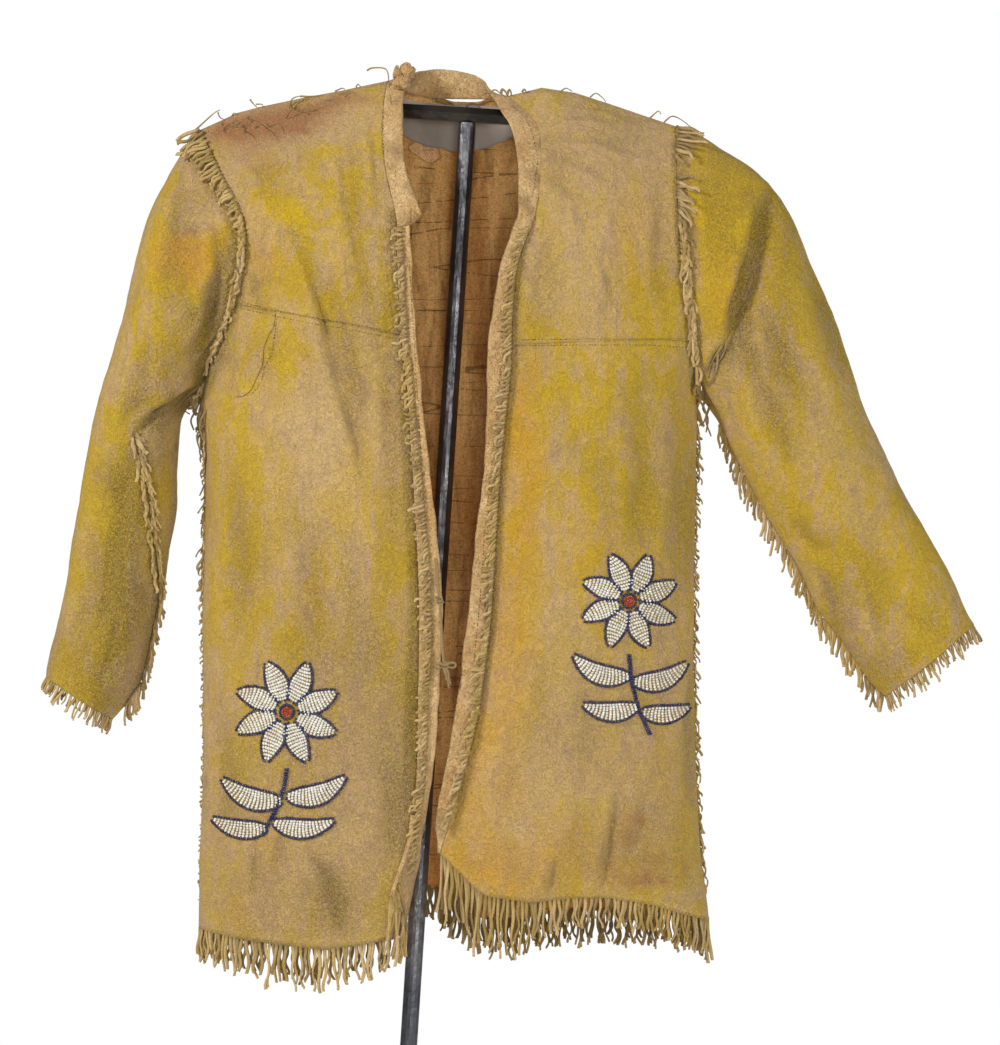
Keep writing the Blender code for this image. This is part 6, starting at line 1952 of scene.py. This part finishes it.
FACING_LIFT = 3.3 * MM


def make_facing(back):
    """The grey cloth facing inside the back of the neck."""
    values = back_values()
    rows, columns = 16, 60
    outer = np.zeros((rows, columns, 3))
    for step in range(rows):
        for c, share in enumerate(even(-FACING_HALF, FACING_HALF, columns)):
            reach = spline(FACING, (share + FACING_HALF) / (2 * FACING_HALF) * (len(FACING) - 1))
            down = FACING_TOP + (reach - FACING_TOP) * step / (rows - 1)
            column = float(np.interp(share, values, range(len(values))))
            row = v_row(RIDGE - down)
            place, normal = on_grid(back.inner, row, column), on_grid(back.normal, row, column)
            outer[step, c] = place - normal * (FACING_LIFT + 0.3 * MM * math.sin(share * 90 + step * 0.3))
    normal = grid_normals(outer, INSIDE["back"])
    return Skin(outer, outer - normal * LINING, normal, False)


POCKET_LIFT = 0.25 * MM


def make_pocket(front):
    """The chest pocket, a thin patch laid on the right front."""
    rows, columns = 40, 26
    outer = np.zeros((rows, columns, 3))
    for i in range(rows):
        row = POCKET[0]._make(spline(column, i / (rows - 1) * (len(POCKET) - 1)) for column in zip(*POCKET))
        for c in range(columns):
            u = mix(row.near, row.far, c / (columns - 1))
            r, k = v_row(YOKE - row.down), u * (FRONT_COLUMNS - 1)
            outer[i, c] = on_grid(front.outer, r, k) + on_grid(front.normal, r, k) * (POCKET_LIFT + POCKET_HIDE)
    normal = grid_normals(outer, INSIDE["right"])
    return Skin(outer, outer - normal * POCKET_HIDE, normal, False)


# ---- Fringe ----------------------------------------------------------------------------------------------------

def spaced(points, pitch, jitter=0.25):
    """Fractional places along a line of points, a pitch apart and a little uneven."""
    points = np.array(points)
    run = np.r_[0, np.cumsum(np.linalg.norm(np.diff(points, axis=0), axis=1))]
    count = max(2, int(run[-1] / pitch))
    wanted = (np.arange(count) + 0.5 + RANDOM.uniform(-jitter, jitter, count)) * run[-1] / count
    return np.interp(wanted, run, np.arange(len(points))), wanted / run[-1]


def along_line(rows, at):
    rows = np.array(rows)
    low = np.minimum(at.astype(int), len(rows) - 2)
    t = (at - low)[:, None]
    return rows[low] * (1 - t) + rows[low + 1] * t


def unit(rows):
    rows = np.array(rows, float)
    return rows / np.maximum(np.linalg.norm(rows, axis=-1, keepdims=True), 1e-9)


def fringe_roots(line, normals, pitch, out_of, length_of, droop, lift=0.0, shade=0.0):
    """Roots of strands along a line. out_of and length_of are called with shares of the line."""
    line = np.array(line)
    tangents = unit(np.gradient(line, axis=0))
    at, share = spaced(line, pitch)
    place, normal, along = along_line(line, at), unit(along_line(normals, at)), unit(along_line(tangents, at))
    out = unit(np.array([out_of(s, n, a) for s, n, a in zip(share, normal, along)]))
    return {"place": list(place + normal * lift), "out": list(out),
            "across": list(unit(along - out * (along * out).sum(axis=1)[:, None])),
            "length": [length_of(s) for s in share], "droop": [droop] * len(share), "shade": [shade] * len(share)}


DOWN = np.array((0, 0, -1.0))


def hem_roots(cloth, lengths, extra):
    """Two rows of strands along a hem: one in the hide's edge, and one behind it, darkened by painted shade."""
    line, normals = cloth.outer[0] * 0.5 + cloth.inner[0] * 0.5, cloth.normal[0]

    def length_of(share):
        return float(np.interp(share, *zip(*lengths))) * MM

    before = fringe_roots(line + normals * 0.2 * MM, normals, 4.8 * MM,
                          lambda s, n, a: DOWN + n * RANDOM.uniform(-0.05, 0.12) + a * RANDOM.normal(0, 0.05),
                          length_of, 0.2)
    # The back row gets painted shade through its shade attribute
    behind = fringe_roots(line - normals * 2.2 * MM, normals, 5.5 * MM,
                          lambda s, n, a: DOWN + n * RANDOM.uniform(-0.12, 0.02) + a * RANDOM.normal(0, 0.07),
                          lambda s: length_of(s) * 0.86, 0.2, shade=0.7)
    roots = together(before, behind)
    roots["place"] = [np.array(p) + (0, 0, 2.5 * MM) for p in roots["place"]]
    return together(roots, extra) if extra else roots


def cuff_roots(cloth):
    """Short strands all round the end of a sleeve."""
    ring = cloth.outer[-1] * 0.5 + cloth.inner[-1] * 0.5
    ring = np.concatenate([ring, ring[:1]])
    normals = np.concatenate([cloth.normal[-1], cloth.normal[-1][:1]])
    way = unit((cloth.outer[-1].mean(axis=0) - cloth.outer[-8].mean(axis=0))[None])[0]
    return fringe_roots(ring - way * 1.5 * MM, normals, 4.4 * MM,
                        lambda s, n, a: way * 0.9 + DOWN * 0.35 + a * RANDOM.normal(0, 0.12) + n * 0.08,
                        lambda s: RANDOM.uniform(17, 25) * MM, 0.3)


def armhole_roots(sleeve, side, hide):
    """Long over the shoulder, and shorter and more twisted towards the arm pit on both sides."""
    columns = [k for k in range(SLEEVE_COLUMNS) if 1.2 <= RING_POINTS * k / SLEEVE_COLUMNS <= RING_POINTS - 1.2]
    line, normals = sleeve.outer[0][columns], sleeve.normal[1][columns]
    toward = unit(sleeve.outer[9][columns] - line)
    outward = np.array((-1.0 if side == "right" else 1.0, 0, 0))
    count = len(line)

    def out_of(share, normal, along):
        index = min(int(share * count), count - 1)
        top = max(0, 1 - abs(share - 0.5) / 0.16)
        lay = toward[index] * (0.55 + 0.45 * top) + normal * (0.3 - 0.08 * top) + DOWN * (0.55 - 0.3 * top)
        return lay + outward * 0.25 * top + along * RANDOM.normal(0, 0.18)

    def length_of(share):
        return (11 + 21 * max(0, 1 - abs(share - 0.5) / 0.2) + 5 * RANDOM.uniform(-1, 1)) * MM

    half = int(count * 0.5)
    behind = fringe_roots(line[half:], normals[half:], 4.2 * MM, lambda s, n, a: out_of(0.5 + s / 2, n, a),
                          lambda s: length_of(0.5 + s / 2), 0.7, lift=0.9 * MM)
    return together(laid_strands(hide, RUNS["armhole_" + side]), behind)


LEFT_UNDER = (2.6, 5, 6, 7, 8, 9, 10, 11, 12, 12.9)  # rings of the left sleeve that its fringe runs along


def sleeve_under_line(sleeve):
    """The seam under the left sleeve, from the arm pit to the cuff."""
    line, normals = [], []
    for i in range(90):
        t = spline(LEFT_UNDER, i / 89 * (len(LEFT_UNDER) - 1))
        row = (t / (len(LEFT_RINGS) - 1)) ** (1 / RING_CROWDING) * (SLEEVE_ROWS - 1)
        line.append(on_grid(sleeve.outer, row, 0))
        normals.append(on_grid(sleeve.normal, row, 0))
    return np.array(line), unit(normals)


def sleeve_roots(sleeve, side, hide):
    if side == "right":
        return laid_strands(hide, RUNS["sleeve_right"], 1.2)
    return fringe_roots(*sleeve_under_line(sleeve), 3.9 * MM,
                        lambda s, n, a: n * 0.35 + DOWN * 0.85 + np.array((0.3, 0, 0)) + a * RANDOM.normal(0, 0.15),
                        lambda s: RANDOM.uniform(20, 34) * MM, 0.75, lift=-0.4 * MM)


def side_roots(front, side, hide):
    """Down the side seam: on the right it is worn short below the waist."""
    last = int(v_row(ARMPIT))
    right = side == "right"
    roots = fringe_roots(front.outer[6:last, -1], front.normal[6:last, -1], 5.0 * MM,
                         lambda s, n, a: np.array((-0.5 if right else 0.5, -0.25, -0.75)) + a * RANDOM.normal(0, 0.1),
                         lambda s: RANDOM.uniform(9, 22) * (0.45 if right and s < 0.62 else 1.0) * MM, 0.8,
                         lift=-0.6 * MM)
    return together(roots, laid_strands(hide, RUNS["side_right"], 0.8)) if right else roots


def edge_roots(front, band, side):
    """The short twisted fringe that lies slantwise beside each band."""
    # The right one is cut along the band's side, and lies back towards the seam
    cloth, column, lift = (band, 7, 2.0) if side == "right" else (front, 0, 4.2)
    first, last = int(v_row(0.9)), int(v_row(11.8))
    return fringe_roots(cloth.outer[first:last, column], cloth.normal[first:last, column], 4.3 * MM,
                        lambda s, n, a: np.array((-0.75, -0.1, -0.6 - 0.3 * math.sin(43 * s)))
                        + n * 0.1 + a * RANDOM.normal(0, 0.2),
                        lambda s: RANDOM.uniform(15, 21) * MM, 0.3, lift=lift * MM)


# Each kind of strand: width, thickness and curl in millimetres, and how it waves, twists, varies and leans
Strand = namedtuple("Strand", "width thickness curl waves twist spread lean rows seed tip", defaults=(0.7,))
STRANDS = {
    "hem": Strand(3.9, 2.3, 2.7, 6.5, 4.5, 0.34, 0.18, 12, 0),
    "cuff": Strand(2.9, 1.5, 1.6, 4.0, 2.5, 0.25, 0.15, 7, 11),
    "armhole": Strand(4.3, 2.8, 2.4, 6.0, 5.0, 0.25, 0.3, 11, 21, 0.6),
    "sleeve": Strand(3.8, 2.4, 1.7, 5.0, 3.5, 0.3, 0.25, 10, 31),
    "side": Strand(2.9, 1.6, 2.2, 4.0, 3.0, 0.3, 0.2, 8, 41),
    "edge": Strand(3.4, 2.9, 2.4, 6.5, 5.0, 0.3, 0.25, 10, 51, 0.75),
}


def grow(kind, side, roots, tree, finish):
    """The strands of one fringe, from their roots, in place of its solid."""
    name, strand = "%s_strands_%s" % (kind, side), STRANDS[kind]
    made = turn_points(name, roots, tree, {
        "Width": strand.width * MM, "Thickness": strand.thickness * MM, "Curl": strand.curl * MM,
        "Waves": strand.waves, "Twist": strand.twist, "Spread": strand.spread, "Lean": strand.lean,
        "Tip": strand.tip, "Rows": strand.rows, "Seed": strand.seed + len(name)}, finish)
    stand_for(made, "%s_fringe_%s" % (kind, side), slot="thong")


# Lengths of the hem's strands in millimetres, by share of each hem
HEM_LENGTHS = {
    "right": ((0, 40), (0.2, 46), (0.45, 52), (0.6, 48), (0.85, 36), (1, 40)),
    "left": ((0, 70), (0.15, 76), (0.3, 66), (0.42, 38), (0.6, 34), (0.85, 44), (1, 50)),
    "back": ((0, 44), (0.5, 46), (1, 44)),
}


def grow_fringe(fronts, back, sleeves, bands, hide, finish):
    tree = strand_tree()
    for side, lengths in HEM_LENGTHS.items():
        extra = laid_strands(hide, RUNS["hem_right"], 1.0) if side == "right" else None
        grow("hem", side, hem_roots(back if side == "back" else fronts[side], lengths, extra), tree, finish)
    for side in ("right", "left"):
        front, sleeve = fronts[side], sleeves[side]
        grow("cuff", side, cuff_roots(sleeve), tree, finish)
        grow("armhole", side, armhole_roots(sleeve, side, hide), tree, finish)
        grow("sleeve", side, sleeve_roots(sleeve, side, hide), tree, finish)
        grow("side", side, side_roots(front, side, hide), tree, finish)
        grow("edge", side, edge_roots(front, bands[side], side), tree, finish)


# ---- Stand, floor and light ------------------------------------------------------------------------------------

def finish_stand(finishes):
    for node, finish in finishes.items():
        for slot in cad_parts[node].material_slots:
            slot.material = finish


def make_studio():
    shape = bmesh.new()
    bmesh.ops.create_circle(shape, cap_ends=True, radius=2.6, segments=96)
    made, tree, shader, place = start_material("pale_floor")
    soft = cloudy(tree, place, 3.0, 3.0)
    tree.links.new(blend_colour(tree, soft, (0.78, 0.78, 0.77), (0.82, 0.82, 0.81)), shader.inputs["Base Color"])
    shader.inputs["Roughness"].default_value = 0.85
    from_shape("floor", shape, made)
    world = bpy.data.worlds.new("studio")
    bpy.context.scene.world = world
    world.use_nodes = True
    tree = world.node_tree
    sky = tree.nodes["Background"]
    seen = tree.nodes.new("ShaderNodeLightPath").outputs["Is Camera Ray"]
    tree.links.new(add(tree, "ShaderNodeMapRange", {0: seen, 3: WORLD_LIGHT, 4: 1.0}).outputs[0],
                   sky.inputs["Strength"])
    sky.inputs["Color"].default_value = (1, 1, 1, 1)
    for name, place, size, power, tint in LAMPS:
        data = bpy.data.lights.new(name, "AREA")
        data.shape = "DISK"
        data.size = size
        data.energy = power
        data.color = tint
        lamp = bpy.data.objects.new(name, data)
        lamp.location = place
        lamp.rotation_euler = (Vector((0.12, 0, 0.95)) - Vector(place)).to_track_quat("-Z", "Y").to_euler()
        bpy.context.scene.collection.objects.link(lamp)
    bpy.context.scene.view_settings.view_transform = "Standard"


WORLD_LIGHT = 0.20
LAMPS = (("key", (-2.5, -2.1, 2.6), 0.8, 92, (1, 0.985, 0.96)),
         ("fill", (2.8, -1.9, 1.5), 1.1, 34, (0.97, 0.985, 1)),
         ("front", (0.35, -4.4, 1.25), 0.9, 52, (1, 0.99, 0.97)),
         ("behind", (0.6, 3.0, 2.4), 1.6, 70, (1, 1, 1)))


# Each sewn piece's flat cut: width and length in metres, and its area in square metres
FLAT = {
    "front_right_lower": (0.275, 0.64, 0.170), "front_right_upper": (0.22, 0.29, 0.0456),
    "front_left_lower": (0.29, 0.60, 0.155), "front_left_upper": (0.21, 0.29, 0.0462),
    "back_lower": (0.63, 0.64, 0.371), "back_upper": (0.50, 0.31, 0.121),
    "sleeve_right": (0.46, 0.56, 0.177), "sleeve_left": (0.50, 0.60, 0.211),
    "front_band_right": (0.028, 0.76, 0.0172), "front_band_left": (0.030, 0.68, 0.0162),
    "collar": (0.040, 0.42, 0.0128), "neck_facing": (0.14, 0.075, 0.0076), "pocket": (0.050, 0.098, 0.0033),
}


def sew(node, slot, cloth, finishes, masks=None, swell=0.15, stuff="hide"):
    """One sewn piece in place of its solid, part of the cloth that hangs from the bar."""
    made = closed_cloth("%s_%s" % (node, stuff), cloth, finishes, masks, swell * MM)
    stand_for(made, node, slot=slot)
    width, length, area = FLAT[node]
    return made


def with_fold_shade(masks, cloth):
    """The masks with the shade of the folds painted into their soil mask."""
    masks["soil_and_shade"] = np.clip(masks["soil_and_shade"] + cloth.hollow, 0, 1)
    return masks


def sew_body(fronts, back, finishes, inside):
    made = []
    last = len(V_VALUES) - 1
    for name, cloth in (("front_right", fronts["right"]), ("front_left", fronts["left"]), ("back", back)):
        behind = name == "back"
        for part, low, high, sides in (("lower", 0, YOKE_INDEX, ("near", "far")),
                                       ("upper", YOKE_INDEX, last, ("near", "far", "high"))):
            piece = draw_in(part_rows(cloth, low, high), sides, 0.05 * MM)
            masks = with_fold_shade(stains(piece.outer, behind), piece)
            if behind:
                masks["fold"] = inner_fold(piece.outer)
            made.append(sew("%s_%s" % (name, part), "hide", piece, [finishes[behind], inside], masks))
    return made


def sew_sleeves(sleeves, finish, inside):
    made = []
    for side, sleeve in sleeves.items():
        before, behind = stains(sleeve.outer), stains(sleeve.outer, True)
        front = np.clip(-sleeve.normal[..., 1] * 2.5 + 0.5, 0, 1)
        masks = with_fold_shade({kind: before[kind] * front + behind[kind] * (1 - front) for kind in before}, sleeve)
        made.append(sew("sleeve_" + side, "hide", sleeve, [finish, inside], masks))
    return made


def own_copy(cloth):
    return Skin(cloth.outer.copy(), cloth.inner.copy(), cloth.normal, False)


def sew_bands(bands, collar, finish):
    made = []
    for side, band in bands.items():
        piece = draw_in(own_copy(band), ("near", "high"))
        low = np.clip(1 - np.array(V_VALUES[:band.outer.shape[0]]) / 2.2, 0, 1)[:, None]
        # under holds painted shadow of the fringe beside the band; low darkens the band towards the bottom
        under = np.zeros(low.shape)
        for line, width, amount in FRINGE_SHADOW[:2]:
            away, _ = away_from_line(*coat_mm(piece.outer), [photo_mm(px, py) for px, py in line])
            under = under + 0.45 * amount * np.exp(-(away / width) ** 4)
        soil_and_shade = np.clip(0.4 * low + under + lumps(piece.outer, 0.03, 65) * 0.35 - 0.15, 0, 1)
        made.append(sew("front_band_" + side, "band_hide", piece, [finish], {"soil_and_shade": soil_and_shade}, 1.0))
    piece = draw_in(own_copy(collar), ("near", "low", "high"))
    soil_and_shade = np.clip(lumps(piece.outer, 0.02, 66) * 0.6 - 0.05, 0, 0.7)
    made.append(sew("collar", "band_hide", piece, [finish], {"soil_and_shade": soil_and_shade}, 1.0))
    return made


def add_details(back, hide, looks):
    """Beads, stitches and the worn coat's loose ends."""
    beads = bead_tree()
    for side, spray in SPRAYS.items():
        stand_for(make_beadwork("beadwork_" + side, spray, hide, beads, looks["glass"]))
    for name, lines in STITCHES.items():
        stand_for(make_stitches("stitches_" + name, lines, hide, beads, looks["sinew"]), slot="thong")
    rows = (YOKE_INDEX - 1, YOKE_INDEX + 1, 4)
    stand_for(back_stitches("stitches_back", back, rows, beads, looks["sinew"]), slot="thong")
    for name, ends in (("shoulder_ends", SHOULDER_ENDS), ("neck_ends", NECK_ENDS), ("armpit_ends", ARMPIT_ENDS)):
        stand_for(loose_ends(name, ends, hide, looks["thong"]), slot="thong")
    for name, (px, py), size in KNOB:
        stand_for(crumpled("collar_" + name, px, py, size, hide, looks["band"]), slot="band_hide")
    # The shoulder's cracks: near-black thongs that paint the shade inside them
    stand_for(loose_ends("shoulder_cracks", SHOULDER_CRACKS, hide, looks["crack"]), slot="thong")
    stand_for(loose_ends("corner_fold", CORNER_FOLD, hide, looks["band"]), slot="band_hide")
    stand_for(loose_ends("corner_flap", CORNER_FLAP, hide, looks["thong"]), slot="thong")


def make_finishes():
    groups = make_groups()
    return {
        "thong": thong_hide(groups, "thong", (0.68, 0.49, 0.24), (0.33, 0.22, 0.085), 0.28),
        "tie": thong_hide(groups, "tie_hide", (0.62, 0.45, 0.24), (0.56, 0.39, 0.19), 0.05),
        "sinew": thong_hide(groups, "sinew", (0.14, 0.085, 0.035), (0.3, 0.2, 0.085), 0.1),
        # Near-black, for the painted shade inside the shoulder's cracks
        "crack": thong_hide(groups, "painted_crack_shade", (0.06, 0.028, 0.013), (0.06, 0.028, 0.013), 0.0),
        "front": buckskin(groups, "hide_fronts", 0.0, 0.62),
        "back": buckskin(groups, "hide_back", 2.3, 0.55),
        "sleeve": buckskin(groups, "hide_sleeves", 4.1, 0.75),
        "inside": smoked_inside(groups),
        "band": pale_hide(groups),
        "lining": grey_lining(groups),
        "glass": bead_glass(),
    }


def main():
    make_camera()
    looks = make_finishes()
    make_tie(looks["tie"])
    fronts, back, sleeves = make_fronts(), make_back(), make_sleeves()
    bands, collar, facing = make_bands(fronts), make_collar(fronts, back), make_facing(back)
    torn_neck(back)

    shells = sew_body(fronts, back, (looks["front"], looks["back"]), looks["inside"])
    shells += sew_sleeves(sleeves, looks["sleeve"], looks["inside"])
    shells += sew_bands(bands, collar, looks["band"])
    shells.append(sew("neck_facing", "grey_cloth", facing, [looks["lining"]], None, 0.2, "cloth"))
    pocket = make_pocket(fronts["right"])
    shells.append(sew("pocket", "hide", pocket, [looks["front"]], stains(pocket.outer), 0.2))
    hide = tree_of(*shells)

    grow_fringe(fronts, back, sleeves, bands, hide, looks["thong"])
    add_details(back, hide, looks)
    iron = forged_iron("forged_iron", (0.10, 0.105, 0.12), (0.24, 0.24, 0.25))
    bar_iron = forged_iron("bar_iron", (0.035, 0.032, 0.03), (0.1, 0.085, 0.07))
    foot_iron = forged_iron("foot_iron", (0.06, 0.06, 0.065), (0.12, 0.12, 0.125), 0.0012, 0.42)
    finish_stand({"stand_foot": foot_iron, "stand_socket": foot_iron, "stand_pole": iron, "stand_bar": bar_iron})
    make_studio()


main()
